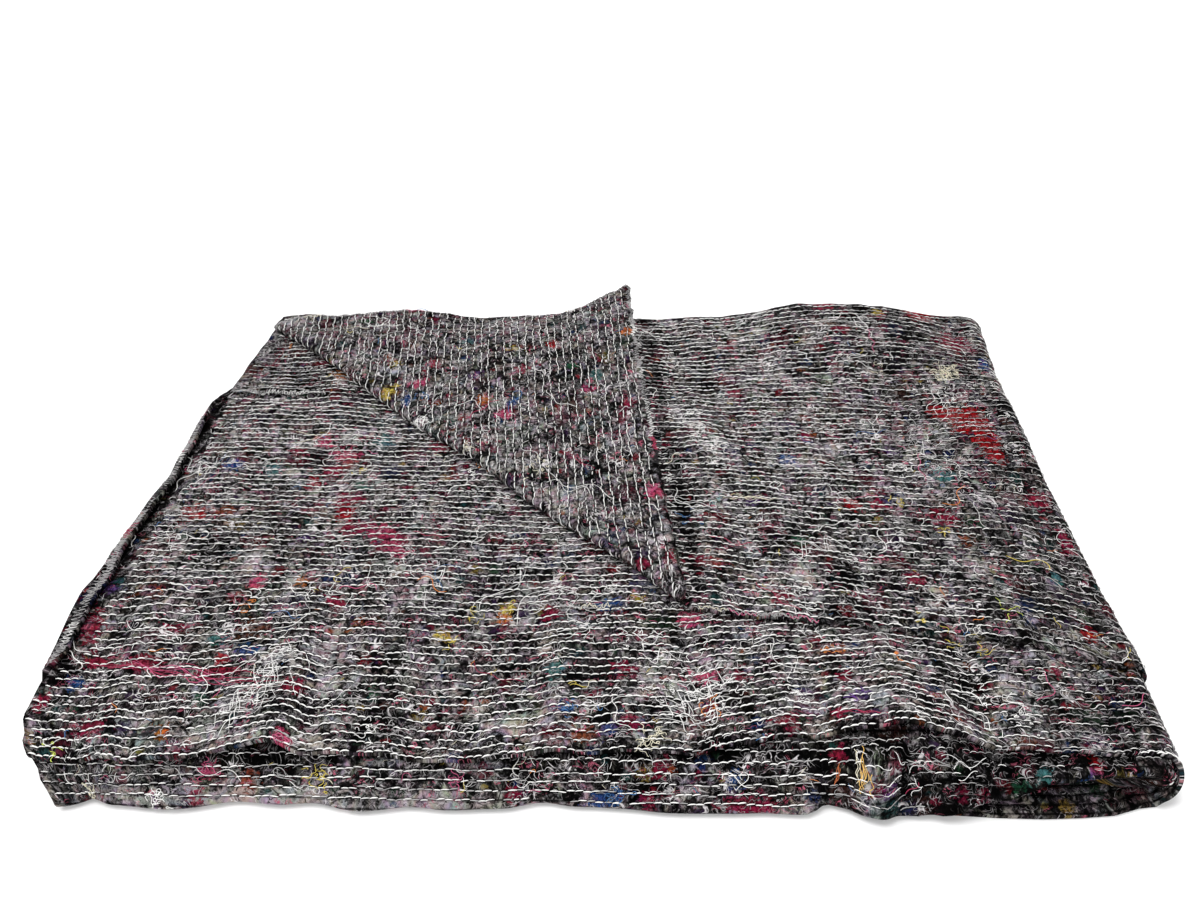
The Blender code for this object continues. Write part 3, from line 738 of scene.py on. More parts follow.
spotted = calc("ADD", painted_value("rag_amount"), calc("MULTIPLY_ADD", torn, 1.7, -0.85))
dyed = calc_colour("MULTIPLY", painted_value("rag", "Color"),
                   calc("MULTIPLY_ADD", ramp(fine_fibre, 0.36, 0.64), 1.10, 0.38))
colour = mixed(colour, dyed, calc("MULTIPLY", ramp(spotted, 0.42, 0.64), 0.92))

# the grey itself is a mix of many faded dyes
dyes = calc_colour("MULTIPLY_ADD", noise(0.0170, 0.0180, 2.0, 0.60, 27.5, 0.4, 1.2, out="Color"),
                   (0.52, 0.52, 0.52), (0.415, 0.375, 0.375))
colour = calc_colour("MULTIPLY", colour, dyes)

# winding fibres: dark ones, coloured ones, short pale ones, long pale ones
Winding = namedtuple("Winding", "size_u size_v shift level width tone share keep_size keep")
for w in (Winding(0.0140, 0.0100, 11.0, 0.47, 0.024, grey(0.004), 0.90, 0.020, 0.50),
          Winding(0.0060, 0.0044, 12.0, 0.53, 0.045, grey(0.006), 0.80, 0.011, 0.54),
          Winding(0.0070, 0.0056, 14.0, 0.45, 0.030, (0.52, 0.12, 0.19), 0.80, 0.016, 0.60),
          Winding(0.0056, 0.0044, 13.0, 0.50, 0.034, grey(0.40), 0.40, 0.012, 0.54),
          Winding(0.0075, 0.0062, 15.0, 0.55, 0.026, grey(0.60), 0.60, 0.016, 0.54),
          Winding(0.0120, 0.0100, 16.0, 0.50, 0.018, grey(0.72), 0.90, 0.024, 0.52)):
    winding = noise(w.size_u, w.size_v, 1.0, 0.5, w.shift, 0.3, 1.2)
    there = calc("MULTIPLY", strand(winding, w.level, w.width),
                 ramp(noise(w.keep_size, w.keep_size * 0.7, 1.0, 0.5, w.shift + 3), w.keep, w.keep + 0.06))
    there = calc("MULTIPLY", there, ramp(drift, 0.30, 0.44))
    colour = mixed(colour, w.tone, calc("MULTIPLY", there, w.share))

# the felt is drawn in along every stitch row, with painted shade in that groove, and painted shade near black
# where the shade marks are deepest, in the hollows between the folds
groove = calc("MULTIPLY", ramp(wave, 0.58, 0.08), calc("MULTIPLY_ADD", ramp(clump, 0.40, 0.58), -0.38, 0.92))
colour = mixed(colour, grey(0.002), groove)
colour = mixed(colour, calc_colour("MULTIPLY", colour, (0.20, 0.20, 0.20)), ramp(shaded, -0.9, -2.6))
links.new(colour, shader.inputs["Base Color"])
height = calc("MULTIPLY_ADD", puff, 2.0, calc("MULTIPLY_ADD", clump, 5.0, calc("MULTIPLY", fine_fibre, 1.8)))
bump = nodes.new("ShaderNodeBump")
bump.inputs["Strength"].default_value = 1.0
bump.inputs["Distance"].default_value = 0.0013
links.new(height, bump.inputs["Height"])
links.new(bump.outputs[0], shader.inputs["Normal"])
mesh.materials.append(felt)

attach(felt_cloth, "root")
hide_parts("blanket")

# ---------------------------------------------------------------------------
# Stitch rows. White polyester thread in chain rows that bind the felt, a few
# millimetres to each stitch, sunk into the felt at every needle hole.
# ---------------------------------------------------------------------------
STITCH = 0.0053                         # length of one stitch
TORN_OUT, BURIED = 0.02, 0.12           # share of the stitches, anywhere and on the corner


def lifted(strip, q, s, height, side=1.0, turned=False):
    """Spots on the cloth's face, a little above it; side -1 is the other face."""
    e = 0.0006
    shape = turn_back if turned else (lambda spots: spots)
    here = shape(lay(strip, q, s))
    du = shape(lay(strip, q, s + e)) - shape(lay(strip, q, s - e))
    dq = shape(lay(strip, q + e, s)) - shape(lay(strip, q - e, s))
    normal = np.cross(du, dq)
    normal /= np.linalg.norm(normal, axis=-1, keepdims=True) + 1e-12
    return here + normal * (side * (CLOTH / 2 + height))[..., None]


def thread_colour(name, colour, roughness=0.75):
    made = bpy.data.materials.new(name)
    made.use_nodes = True
    parts = made.node_tree
    skin = parts.nodes["Principled BSDF"]
    spots = parts.nodes.new("ShaderNodeTexCoord")
    grain = parts.nodes.new("ShaderNodeTexNoise")
    grain.inputs["Scale"].default_value = 900.0
    parts.links.new(spots.outputs["Object"], grain.inputs["Vector"])
    tone = parts.nodes.new("ShaderNodeMix")
    tone.data_type = "RGBA"
    tone.inputs[6].default_value = (*(c * 0.75 for c in colour), 1)
    tone.inputs[7].default_value = (*colour, 1)
    parts.links.new(grain.outputs["Fac"], tone.inputs[0])
    parts.links.new(tone.outputs[2], skin.inputs["Base Color"])
    skin.inputs["Roughness"].default_value = roughness
    return made


bpy.context.view_layer.update()
on_cloth = BVHTree.FromObject(felt_cloth, bpy.context.evaluated_depsgraph_get())
INTO_FOLD = Vector((0.0, 0.752, -0.659))
AWAY, FAR_ENOUGH, LONGEST_STEP = 0.030, 0.09, 0.0035    # start and end of the slide; a thread's step


def pressed(paths, gap=0.0004):
    """Slides threads of the front folds in and down until they lie on the cloth."""
    kept, moved = [], []
    for k, path in enumerate(paths):
        spots = []
        for spot in path:
            hit, _, _, _ = on_cloth.ray_cast(Vector(spot) - CENTRE - INTO_FOLD * AWAY,
                                            INTO_FOLD, FAR_ENOUGH)
            if hit is not None:
                spots.append(hit + CENTRE - INTO_FOLD * gap)
        # a thread that misses the cloth or jumps across a fold is left out
        steps = [(b - a).length for a, b in zip(spots, spots[1:])]
        if len(spots) == len(path) and all(length < LONGEST_STEP for length in steps):
            kept.append(k)
            moved.append(np.array(spots))
    return kept, moved


white_thread = thread_colour("white_stitch_thread", (0.95, 0.94, 0.92))
# grey thread, also used to paint shade on stitches that lie in the dark shade marks
grey_and_shaded_thread = thread_colour("grey_and_shaded_stitch_thread", (0.42, 0.41, 0.41))


def lay_threads(name, paths, thick, materials, picks, radii=None):
    """Many short threads as one curve piece with a four-sided profile."""
    curve = bpy.data.curves.new(name, "CURVE")
    curve.dimensions = "3D"
    curve.bevel_depth = thick
    curve.bevel_resolution = 0
    for material in materials:
        curve.materials.append(material)
    shift = np.array(CENTRE)
    for k, path in enumerate(paths):
        spline = curve.splines.new("POLY")
        spline.points.add(len(path) - 1)
        spline.points.foreach_set("co", np.c_[path - shift, np.ones(len(path))].ravel())
        if radii is not None:
            spline.points.foreach_set("radius", radii[k])
        spline.material_index = int(picks[k])
    piece = bpy.data.objects.new(name, curve)
    bpy.context.scene.collection.objects.link(piece)
    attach(piece, "root")


def row_stitches(strip, q_rows, s_to, seed, side=1.0, turned=False, wild=1.0, dip=None):
    """Stitches of all rows on one strip: ends sunk, middle standing proud."""
    dice = np.random.default_rng(seed)
    paths, picks, radii = [], [], []
    for q in q_rows:
        count = int((s_to - LEFT_X) / STITCH)
        start = LEFT_X + (np.arange(count) + dice.uniform(0, 1)) * STITCH + dice.normal(0, 0.00018, count)
        length = STITCH * dice.uniform(0.93, 1.05, count)
        drift = wild * sum(0.00040 * np.sin(start / size * ANY_PHASE + dice.uniform(0, ANY_PHASE))
                           for size in (0.13, 0.047, 0.019))
        drift = drift + dice.normal(0, 0.00014 * wild, count)
        tilt = dice.normal(0.00014, 0.00018, count) * wild
        ss = np.clip(start[:, None] + length[:, None] * np.array([0.0, 0.35, 0.7, 1.0]), LEFT_X, s_to)
        arch = (drift[:, None] + tilt[:, None] * np.array([-1, -0.1, 0.6, 1])
                + np.array([0, 0.00034, 0.00026, 0]))
        qq = q + arch / (PITCH * 1.5 if strip == "outer wrap" else 1.0) - (0.0 if dip is None else dip(ss))
        rise = np.array([-0.00008, 0.00036, 0.00034, -0.00008]) + dice.normal(0, 0.00016, (count, 1))
        spots = lifted(strip, qq, ss, rise, side, turned)
        bright = np.sin(start * 97 + q * 61) + np.sin(start * 41 - q * 173)
        # painted shade on the stitches: where the shade marks are dark, stitches get the grey thread and a
        # thinner yarn
        shadow = np.clip(-shade_at(ss[:, 1] - LEFT_X, float(cut_v(strip, q, 0.0))) / 2.5, 0, 1)
        keep = (dice.uniform(0, 1, count) > TORN_OUT) & (ss[:, -1] - ss[:, 0] > 0.001)
        if strip == "C":
            keep &= qq.min(axis=1) > fronts(ss[:, 1], np.full(count, LEVEL["C"])).fold + 0.0005
        for k in np.nonzero(keep)[0]:
            paths.append(spots[k])
            dull = max(0.8 * ease(0.16, 0.34, ss[k, 1]) * (strip in "AB"), shadow[k])
            if strip == "C":            # the hanging fold's stitches are half sunk
                dull = max(dull, 0.35)
            if strip == "B":            # worn away at the back left edge
                dull = max(dull, ease(0.360, 0.372, q) * (1 - ease(-0.365, -0.315, ss[k, 1])))
            picks.append(0 if dice.uniform() < (0.93 + 0.18 * bright[k]) * (1 - 0.75 * dull) else 1)
            radii.append(np.array([0.60, 1.0, 1.0, 0.60]) * dice.uniform(0.75, 1.20) * (1 - 0.38 * dull))
    return paths, picks, radii


def stitch_piece(name, stitches, keep=lambda k: True, thick=0.00048):
    kept = [k for k in range(len(stitches[0])) if keep(k)]
    paths, picks, radii = ([column[k] for k in kept] for column in stitches)
    lay_threads(name, paths, thick, [white_thread, grey_and_shaded_thread], picks, radii)


def rows_between(low, high):
    return ROWS_AT[(ROWS_AT > low) & (ROWS_AT < high)]


s_end = SPINE_X + TOP_N * math.pi * 0.62
FIRST_Q = 0.1110                        # front row of the top layer
numbers = np.arange(math.ceil(corner_number - (CORNER_V - FIRST_Q) / CORNER_ROW),
                    corner_number + (BACK_Y - CORNER_V) / CORNER_ROW)
corner_rows = CORNER_V + (numbers - corner_number) * CORNER_ROW

# top layer right of the crease, and its run round the spine
top = row_stitches("A", rows_between(FIRST_Q, BACK_Y), s_end, 3)
stitch_piece("stitches_top", top, lambda k: past_crease(top[0][k][1]) < -0.0003, 0.00051)

# turned-back corner: the other face of the same rows
corner = row_stitches("A", corner_rows, 0.09, 4, -1.0, True, 1.1)
before = row_stitches("A", corner_rows, 0.09, 4, -1.0, False, 1.1)
dice = np.random.default_rng(9)
buried = dice.uniform(0, 1, len(corner[0])) < BURIED
stitch_piece("stitches_corner", corner,
             lambda k: past_crease(before[0][k][1]) > roll * 0.45 and not buried[k], 0.00038)


def clear_of_rim(spot):
    """True where a stitch on the second layer isn't under its curled edge."""
    width = float(between(RIM, "y", "width", np.array(spot[1])))
    return spot[0] - float(left_edge(LEVEL["B"], np.array(spot[1]))) > width * 0.75 + 0.0055 * (width > 0.002)


# second layer where the top one leaves it bare, and its run round the spine
second = row_stitches("B", V_START["B"] - rows_between(V_START["B"] - BACK_Y, V_START["B"]),
                      SPINE_X + LEVEL["B"] * math.pi * 0.7, 5)
stitch_piece("stitches_second", second,
             lambda k: (past_crease(second[0][k][1]) > -0.006 or second[0][k][1][1] < 0.118)
             and clear_of_rim(second[0][k][0]))

# front folds; the thread is thin on the pucker, and in the hollow at the right it is broken and painted dull
# grey for the shade there
wall_rows = rows_between(V_START["C"] - 0.0330, V_START["C"] + 0.012) - V_START["C"]
paths, picks, radii = row_stitches("C", wall_rows, SPINE_X + 0.02, 6,
                                   dip=lambda s: 0.0042 * np.exp(-np.abs(s - 0.1765) / 0.006))
PUCKER_LEFT, PUCKER_RIGHT, HOLLOW_RIGHT = 0.165, 0.188, 0.335
dice = np.random.default_rng(8)
plain, hollow = [], []
for k, stitch in enumerate(paths):
    x = stitch[1][0]
    if PUCKER_LEFT < x < PUCKER_RIGHT:
        picks[k] = int(dice.uniform() < 0.6)
        radii[k] = radii[k] * 0.62
    elif PUCKER_RIGHT <= x < HOLLOW_RIGHT:
        picks[k] = int(dice.uniform() < 0.75)
        radii[k] = radii[k] * dice.uniform(0.3, 0.9)
    if x <= PUCKER_LEFT:
        plain.append(k)
    elif x > HOLLOW_RIGHT or radii[k][1] > 0.40:
        hollow.append(k)
kept, moved = pressed([paths[k] for k in hollow])
order = plain + [hollow[k] for k in kept]
stitch_piece("stitches_front_fold", ([paths[k] for k in plain] + moved, [picks[k] for k in order],
                                     [radii[k] for k in order]))
wrap_rows = (rows_between(BACK_Y, BACK_Y + math.pi * PITCH * 1.5) - BACK_Y) / (PITCH * 1.5)
stitch_piece("stitches_back_fold", row_stitches("outer wrap", wrap_rows, s_end, 7))

# ---------------------------------------------------------------------------
# Loose threads. Ends of torn yarn that stand out of the felt and curl over
# the stitch rows, mostly pale, thin and a few centimetres long.
# ---------------------------------------------------------------------------
YARNS = {"white": (0.95, 0.94, 0.92), "grey": (0.42, 0.41, 0.41), "pink": (0.62, 0.11, 0.24),
         "black": (0.012, 0.011, 0.013), "blue": (0.05, 0.17, 0.40), "yellow": (0.70, 0.56, 0.10),
         "orange": (0.75, 0.24, 0.05), "cream": (0.80, 0.75, 0.58), "crimson": (0.42, 0.03, 0.09),
         "gold": (0.85, 0.52, 0.14), "lime": (0.60, 0.68, 0.12), "teal": (0.16, 0.36, 0.36),
         "violet": (0.17, 0.05, 0.34), "rust": (0.50, 0.13, 0.04)}
NAMES = list(YARNS)
yarns = [white_thread, grey_and_shaded_thread] + [thread_colour(name + "_yarn", YARNS[name], 0.85) for name in NAMES[2:]]


def shares(*first):
    """Shares of the yarns in YARNS's order; those not given have none."""
    return [*first] + [0.0] * (len(YARNS) - len(first))


MIXED_YARNS = shares(0.52, 0.25, 0.06, 0.07, 0.03, 0.02, 0.01, 0.02, 0.02)
PALE_YARNS = shares(0.62, 0.38)
LINT_YARNS = shares(0.26, 0.52, 0.05, 0.10, 0.02, 0.01, 0.01, 0.02, 0.01)
LOOP_YARNS = shares(0.14, 0.58, 0.03, 0.20, 0, 0, 0, 0.03, 0.02)


def on_top(q, s):
    spots = lay("A", q, s)
    return (past_crease(spots) < -0.001).all(axis=1) & (q > 0.110).all(axis=1) & (s < s_end).all(axis=1)


def on_corner(q, s):
    spots = lay("A", q, s)
    inside = (q > 0.110).all(axis=1) & (q < BACK_Y).all(axis=1) & (s > LEFT_X + 0.002).all(axis=1)
    return (past_crease(spots) > roll * 0.6).all(axis=1) & inside


def on_second(q, s):
    spots = lay("B", q, s)
    free = (past_crease(spots) > 0.003) | (spots[..., 1] < 0.103)
    inside = (q > 0.0).all(axis=1) & (q < BACK_Y).all(axis=1) & (s > LEFT_X + 0.001).all(axis=1)
    return free.all(axis=1) & inside & (s < SPINE_X + 0.03).all(axis=1)


def on_fold(q, s):
    return (q > -0.0225).all(axis=1) & (q < 0.001).all(axis=1) & (np.abs(s) < 0.37).all(axis=1)


Layer = namedtuple("Layer", "name strip side turned box counts wanted")
LAYERS = [                              # box: lowest q and s, then highest; counts as in THREADS
    Layer("top", "A", 1.0, False, ((0.112, -0.36), (0.484, 0.37)), (160, 600, 1500), on_top),
    Layer("corner", "A", -1.0, True, ((0.112, -0.38), (0.484, 0.06)), (80, 320, 800), on_corner),
    Layer("second", "B", 1.0, False, ((0.004, -0.383), (0.480, 0.34)), (210, 850, 1900), on_second),
    Layer("fold", "C", 1.0, False, ((-0.024, -0.37), (0.000, 0.20)), (20, 90, 220), on_fold),
]
Thread = namedtuple("Thread", "name seed drifted points reach radius bend share")
THREADS = [
    Thread("long_threads", 30, 0.55, 17, 0.0022, 0.00024, 0.38, MIXED_YARNS),
    Thread("curled_threads", 50, 0.55, 9, 0.0013, 0.00020, 0.55, MIXED_YARNS),
    Thread("lint_hairs", 70, 0.35, 4, 0.0017, 0.00013, 0.35, LINT_YARNS),
]
PER_DRIFT, DRIFT_SIZE = 14, 0.009       # threads in one drift, and how far they spread


def scattered(count, box, seed, drifted):
    """Starts of loose threads: some anywhere, the rest in drifts."""
    dice = np.random.default_rng(seed)
    (q_from, s_from), (q_to, s_to) = box
    anywhere = np.c_[dice.uniform(q_from, q_to, count), dice.uniform(s_from, s_to, count)]
    centres = np.c_[dice.uniform(q_from, q_to, count // PER_DRIFT),
                    dice.uniform(s_from, s_to, count // PER_DRIFT)]
    drifts = centres[dice.integers(0, len(centres), count)] + dice.normal(0, DRIFT_SIZE, (count, 2))
    return np.clip(np.where(dice.uniform(0, 1, (count, 1)) > drifted, anywhere, drifts), *box)


def loose(thread, layer, starts, seed, wanted=None, picks=None):
    """Threads that wind over the cloth from the given (q, s) starts."""
    dice = np.random.default_rng(seed)
    count, bend = len(starts), thread.bend
    steps = np.arange(thread.points)
    heading = dice.uniform(0, 2 * math.pi, (count, 1)) + np.cumsum(
        dice.normal(0, 0.30 * bend, (count, 1)) + bend * np.sin(
            steps * dice.uniform(0.25, 0.9, (count, 1)) + dice.uniform(0, ANY_PHASE, (count, 1))), axis=1)
    stride = thread.reach * dice.uniform(0.55, 1.35, (count, 1))
    s = starts[:, 1:2] + np.cumsum(np.cos(heading) * stride, axis=1)
    q = starts[:, 0:1] + np.cumsum(np.sin(heading) * stride * 0.85, axis=1)
    rise = 0.0004 + 0.0008 * dice.uniform(0, 1, (count, 1)) ** 3 * (1 + np.sin(
        steps * dice.uniform(0.4, 1.1, (count, 1)) + dice.uniform(0, ANY_PHASE, (count, 1))))
    rise = rise - 0.0006 * (steps == 0)     # the first spot is sunk
    picks = dice.choice(len(yarns), count, p=thread.share) if picks is None else picks
    radii = np.concatenate([[0.7], np.ones(len(steps) - 2), [0.5]]) * dice.uniform(0.7, 1.25, (count, 1))
    spots = lifted(layer.strip, q, s, rise, layer.side, layer.turned)
    if wanted is not None:
        fits = wanted(q, s)
        spots, picks, radii = spots[fits], picks[fits], radii[fits]
    if layer.strip == "C":              # the front fold's threads are pressed onto it
        kept, spots = pressed(spots)
        picks, radii = picks[kept], radii[kept]
    lay_threads(thread.name + "_" + layer.name, spots, thread.radius, yarns, picks, radii)


for k, layer in enumerate(LAYERS):
    for thread, count in zip(THREADS, layer.counts):
        if layer.name == "fold" and thread.name == "long_threads":
            thread = thread._replace(share=PALE_YARNS)
        starts = scattered(count, layer.box, thread.seed + k, thread.drifted)
        loose(thread, layer, starts, thread.seed + 10 + k, wanted=layer.wanted)

# ---------------------------------------------------------------------------
# Tufts and drawn-out yarns. Knots of coloured or white yarn that stand on the
# felt in one place, and long yarns carded out in one direction.
# ---------------------------------------------------------------------------
Tuft = namedtuple("Tuft", "colour q s spread threads")
TUFTS = {
    "top": [
        ("cream", 393, 316, 6, 70), ("white", 368, 305, 3.8, 8), ("white", 351, 311, 3.8, 8),
        ("white", 248, 50, 3.8, 8), ("white", 332, 73, 4.6, 14), ("white", 307, 80, 4.6, 16),
        ("white", 283, 89, 4.6, 16), ("white", 268, 92, 3.8, 10), ("cream", 394, 254, 2.3, 4),
        ("yellow", 204, 266, 3.8, 5), ("yellow", 120, 225, 3.1, 5), ("white", 136, 142, 5.4, 10),
        ("white", 173, 192, 5.4, 10), ("white", 267, 251, 4.6, 8), ("white", 317, 197, 4.6, 8),
        ("teal", 223, 91, 3.1, 5), ("blue", 197, 66, 3.8, 5), ("teal", 266, 272, 4.6, 6),
        ("yellow", 232, 237, 3.1, 5), ("lime", 133, 286, 3.8, 5)],
    "corner": [
        ("yellow", 341, -216, 3.1, 8), ("yellow", 335, -229, 2.3, 5), ("white", 310, -172, 3.1, 26),
        ("pink", 116, -62, 3.1, 16), ("cream", 208, -101, 4.6, 10), ("cream", 265, -127, 3.8, 8),
        ("pink", 240, -169, 3.1, 5), ("blue", 312, -209, 3.1, 5)],
    "fold": [
        ("yellow", -18, -180, 3.1, 8), ("yellow", -14, -183, 3.1, 5), ("pink", -11, -253, 3.1, 7),
        ("pink", -15, -93, 2, 8), ("white", -30, -281, 3.8, 14), ("cream", -28, -345, 3.8, 12),
        ("blue", -24, 10, 3.8, 8)],
    "second": [
        ("yellow", 116, -72, 2.3, 7), ("cream", 8, 27, 3.8, 14), ("cream", 11, 33, 3.1, 8),
        ("white", 42, -237, 6.9, 12), ("white", 53, -228, 6.9, 12), ("white", 67, -221, 6.2, 10),
        ("white", 48, 57, 9.2, 16), ("white", 34, 73, 9.2, 16), ("white", 41, 43, 7.7, 12),
        ("white", 43, 87, 6.2, 10), ("yellow", 75, 257, 3.8, 5), ("yellow", 83, 240, 3.8, 5),
        ("pink", 4, -204, 3.1, 7), ("lime", 7, -366, 2.3, 5), ("white", 15, -153, 3.1, 10),
        ("white", 30, 129, 4.6, 12), ("blue", 30, -25, 2.3, 6), ("orange", 33, 69, 2, 5),
        ("white", 257, -117, 4.6, 10), ("white", 224, -89, 5.4, 10), ("white", 134, -34, 5.4, 10),
        ("white", 130, 3, 5.4, 10), ("white", 87, 24, 6.2, 12), ("orange", 263, -110, 2.3, 5),
        ("orange", 444, -333, 2.3, 5), ("yellow", 258, -211, 3.8, 4), ("orange", 116, -260, 3.8, 5),
        ("yellow", 87, -113, 3.1, 6), ("yellow", 108, -95, 2.3, 6), ("orange", 67, 158, 3.8, 6),
        ("orange", 62, 199, 3.1, 5), ("violet", 27, 168, 3.1, 6), ("white", 37, 251, 4.6, 10),
        ("white", 22, 269, 5.4, 10)],
}
TUFT = Thread("tufts", 90, 0, 9, 0.0011, 0.00023, 0.85, None)
for k, layer in enumerate(LAYERS):
    dice = np.random.default_rng(TUFT.seed + k)
    own = metres(Tuft, *TUFTS[layer.name])
    starts = np.concatenate([np.array([[t.q, t.s]]) + dice.normal(0, t.spread, (t.threads, 2)) for t in own])
    chosen = np.concatenate([np.full(t.threads, NAMES.index(t.colour)) for t in own])
    loose(TUFT, layer, starts, TUFT.seed + 10 + k, picks=chosen)

Streak = namedtuple("Streak", "colour q0 s0 q1 s1 spread yarns")
STREAKS = {
    "fold": [
        ("gold", 4, 163, -18, 162, 1.3, 8), ("cream", 2, 160, -12, 160, 1, 3),
        ("grey", 1, 178, -10, 215, 1, 2), ("grey", 3, 188, -8, 225, 1, 2),
        ("rust", 1, 150, -20, 144, 1, 3), ("white", -6, 201, -5, 249, 3.7, 2),
        ("white", -15, 204, -8, 251, 3.7, 2), ("white", -19, 292, -10, 340, 2.4, 2)],
    "second": [
        ("crimson", 70, -354, 56, -281, 1.9, 4), ("crimson", 61, -289, 41, -203, 1.9, 4),
        ("pink", 69, -334, 52, -246, 3.8, 4), ("white", 13, -256, 40, -228, 6.1, 5),
        ("white", 22, -253, 59, -222, 7.4, 5), ("white", 35, -241, 78, -214, 8.6, 5),
        ("black", 14, -312, 20, -281, 0.8, 8), ("white", 15, 33, 46, 64, 9.9, 4),
        ("white", 27, 56, 50, 87, 9.9, 4), ("white", 104, -90, 160, -47, 9.9, 3),
        ("white", 160, -36, 85, -11, 9.9, 2), ("white", 34, 234, 8, 260, 6.1, 2),
        ("white", 45, 264, 12, 279, 6.1, 2), ("white", 156, -142, 120, -99, 9.9, 2),
        ("white", 155, -212, 110, -156, 9.9, 2), ("white", 84, 108, 37, 150, 9.9, 3),
        ("white", 116, -332, 83, -277, 7.4, 2), ("white", 71, 10, 87, 59, 8.6, 2),
        ("crimson", 14, 146, 7, 188, 0.9, 3)],
    "top": [
        ("white", 374, 316, 312, 300, 3.7, 2), ("white", 381, 307, 323, 286, 3.7, 2),
        ("white", 364, 250, 290, 231, 2.4, 2), ("white", 351, 65, 258, 102, 9.9, 2),
        ("white", 318, 260, 266, 296, 9.9, 2), ("white", 164, 124, 190, 181, 9.9, 2),
        ("cream", 227, 87, 226, 140, 2.3, 5)],
    "corner": [
        ("white", 208, -83, 145, -53, 7.4, 2), ("crimson", 194, -125, 158, -93, 1.9, 3)],
}
YARN_POINTS = 15
for k, layer in enumerate(LAYERS):
    dice = np.random.default_rng(110 + k)
    q_lines, s_lines, chosen = [], [], []
    for t in metres(Streak, *STREAKS[layer.name]):
        for _ in range(t.yarns):
            share = np.linspace(*np.sort(dice.uniform(0, 1, 2) * (0.45, 0.45) + (0, 0.55)), YARN_POINTS)
            sway = dice.normal(0, 1) + 0.7 * np.sin(share * dice.uniform(7, 24) + dice.uniform(0, ANY_PHASE))
            sway = sway * t.spread
            run = np.array((t.q1 - t.q0, t.s1 - t.s0))
            run_side = np.array((-run[1], run[0])) / np.linalg.norm(run)
            q_lines.append(t.q0 + run[0] * share + run_side[0] * sway)
            s_lines.append(t.s0 + run[1] * share + run_side[1] * sway)
            chosen.append(NAMES.index(t.colour))
    rise = 0.0005 + 0.0006 * np.sin(np.linspace(0, 9, YARN_POINTS) + dice.uniform(0, 6, (len(chosen), 1)))
    spots = lifted(layer.strip, np.array(q_lines), np.array(s_lines), rise, layer.side, layer.turned)
    if layer.strip == "C":
        kept, spots = pressed(spots)
        chosen = [chosen[k] for k in kept]
    lay_threads("drawn_yarns_" + layer.name, spots, 0.00022, yarns, chosen,
                dice.uniform(0.6, 1.3, (len(chosen), YARN_POINTS)))

# ---------------------------------------------------------------------------
# Edge loops. Where the felt is cut across its rows, the stitch yarn springs
# out in short zigzag loops, most of them grey with fluff, over the raw edge.
# ---------------------------------------------------------------------------
Edge = namedtuple("Edge", "name strip side turned fixed at start end inward pace")
EDGES = [
    Edge("top_front", "A", 1.0, False, "q", 0.1092, -0.060, 0.160, 0.0040, 0.0042),
    Edge("corner_side", "A", -1.0, True, "s", LEFT_X - 0.0007, 0.112, 0.478, 0.0048, 0.0034),
    Edge("corner_front", "A", -1.0, True, "q", 0.1084, -0.384, -0.075, 0.0048, 0.0034),
    Edge("rim", "B", -1.0, False, "s", LEFT_X + 0.001, 0.050, 0.362, 0.0080, 0.0030),
    Edge("ridge", "B", 1.0, False, "q", 0.3620, -0.380, -0.250, 0.0040, 0.0036),
]
PER_LOOP, LOOP_CUT = 4, 20              # spots in one loop, and in one piece of yarn
for k, edge in enumerate(EDGES):
    for turn in (0, 1):
        dice = np.random.default_rng(120 + 2 * k + turn)
        count = int((edge.end - edge.start) / edge.pace) * PER_LOOP
        t = np.arange(count)
        run = edge.start + t / PER_LOOP * edge.pace + dice.normal(0, 0.0005, count)
        zig = edge.inward * (0.5 - 0.5 * np.cos(t * math.pi / 2 + turn * 2)) * dice.uniform(0.5, 1.1, count)
        q, s = (edge.at + zig, run) if edge.fixed == "q" else (run, edge.at + zig)
        rise = 0.0003 + dice.normal(0, 0.00015, count)
        spots = lifted(edge.strip, q, s, rise, edge.side, edge.turned)
        cuts = range(0, count - LOOP_CUT - PER_LOOP, LOOP_CUT)
        pieces = [spots[c:c + LOOP_CUT + 1] for c in cuts]
        lay_threads("%s_loops_%d" % (edge.name, turn), pieces, 0.00030, yarns,
                    [dice.choice(len(yarns), p=LOOP_YARNS) for _ in cuts])

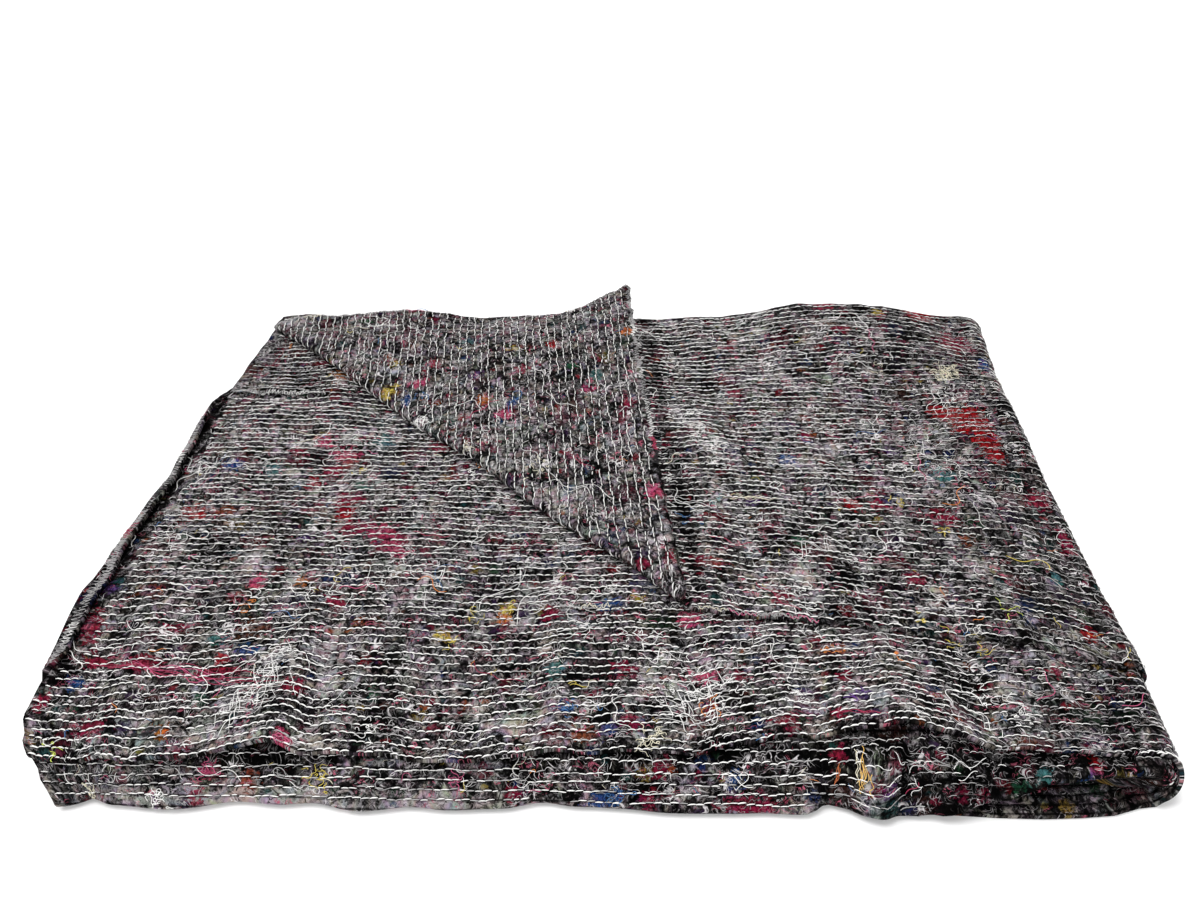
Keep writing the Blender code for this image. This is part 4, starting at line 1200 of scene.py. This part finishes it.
# ---------------------------------------------------------------------------
# Floor, soft light and camera. The blanket lies on a pale floor in a white
# surround, under one large soft lamp overhead and a weaker one in front.
# ---------------------------------------------------------------------------
floor_form = bmesh.new()
bmesh.ops.create_grid(floor_form, x_segments=1, y_segments=1, size=6.0)
floor_mesh = bpy.data.meshes.new("floor")
floor_form.to_mesh(floor_mesh)
floor_form.free()
floor = bpy.data.objects.new("floor", floor_mesh)
bpy.context.scene.collection.objects.link(floor)
pale = bpy.data.materials.new("pale_floor")
pale.use_nodes = True
pale.node_tree.nodes["Principled BSDF"].inputs["Base Color"].default_value = (0.90, 0.90, 0.90, 1)
pale.node_tree.nodes["Principled BSDF"].inputs["Roughness"].default_value = 0.9
floor_mesh.materials.append(pale)

world = bpy.data.worlds.new("studio")
world.use_nodes = True
world.node_tree.nodes["Background"].inputs[0].default_value = (1, 1, 1, 1)
world.node_tree.nodes["Background"].inputs[1].default_value = 0.66
bpy.context.scene.world = world

Lamp = namedtuple("Lamp", "name towards strength spread")
for lamp in (Lamp("overhead_softbox", (0.35, -0.30, -1.0), 2.75, 40),
             Lamp("front_softbox", (-0.25, 1.0, -0.75), 1.08, 60)):
    light = bpy.data.lights.new(lamp.name, "SUN")
    light.energy = lamp.strength
    light.angle = math.radians(lamp.spread)
    holder = bpy.data.objects.new(lamp.name, light)
    holder.location = -2 * Vector(lamp.towards)
    holder.rotation_euler = Vector(lamp.towards).to_track_quat("-Z", "Y").to_euler()
    bpy.context.scene.collection.objects.link(holder)

EYE = Vector((0.003, -0.304, 0.552))    # from the sheet's own origin
DOWN, ASIDE = 41.2, 1.05                # where it looks, in degrees
camera = bpy.data.cameras.new("camera")
camera.sensor_width = 36.0
camera.lens = 27.03
viewer = bpy.data.objects.new("camera", camera)
viewer.location = EYE - CENTRE
viewer.rotation_euler = (math.radians(90 - DOWN), 0, math.radians(ASIDE))
bpy.context.scene.collection.objects.link(viewer)
bpy.context.scene.camera = viewer
bpy.context.scene.view_settings.view_transform = "Standard"
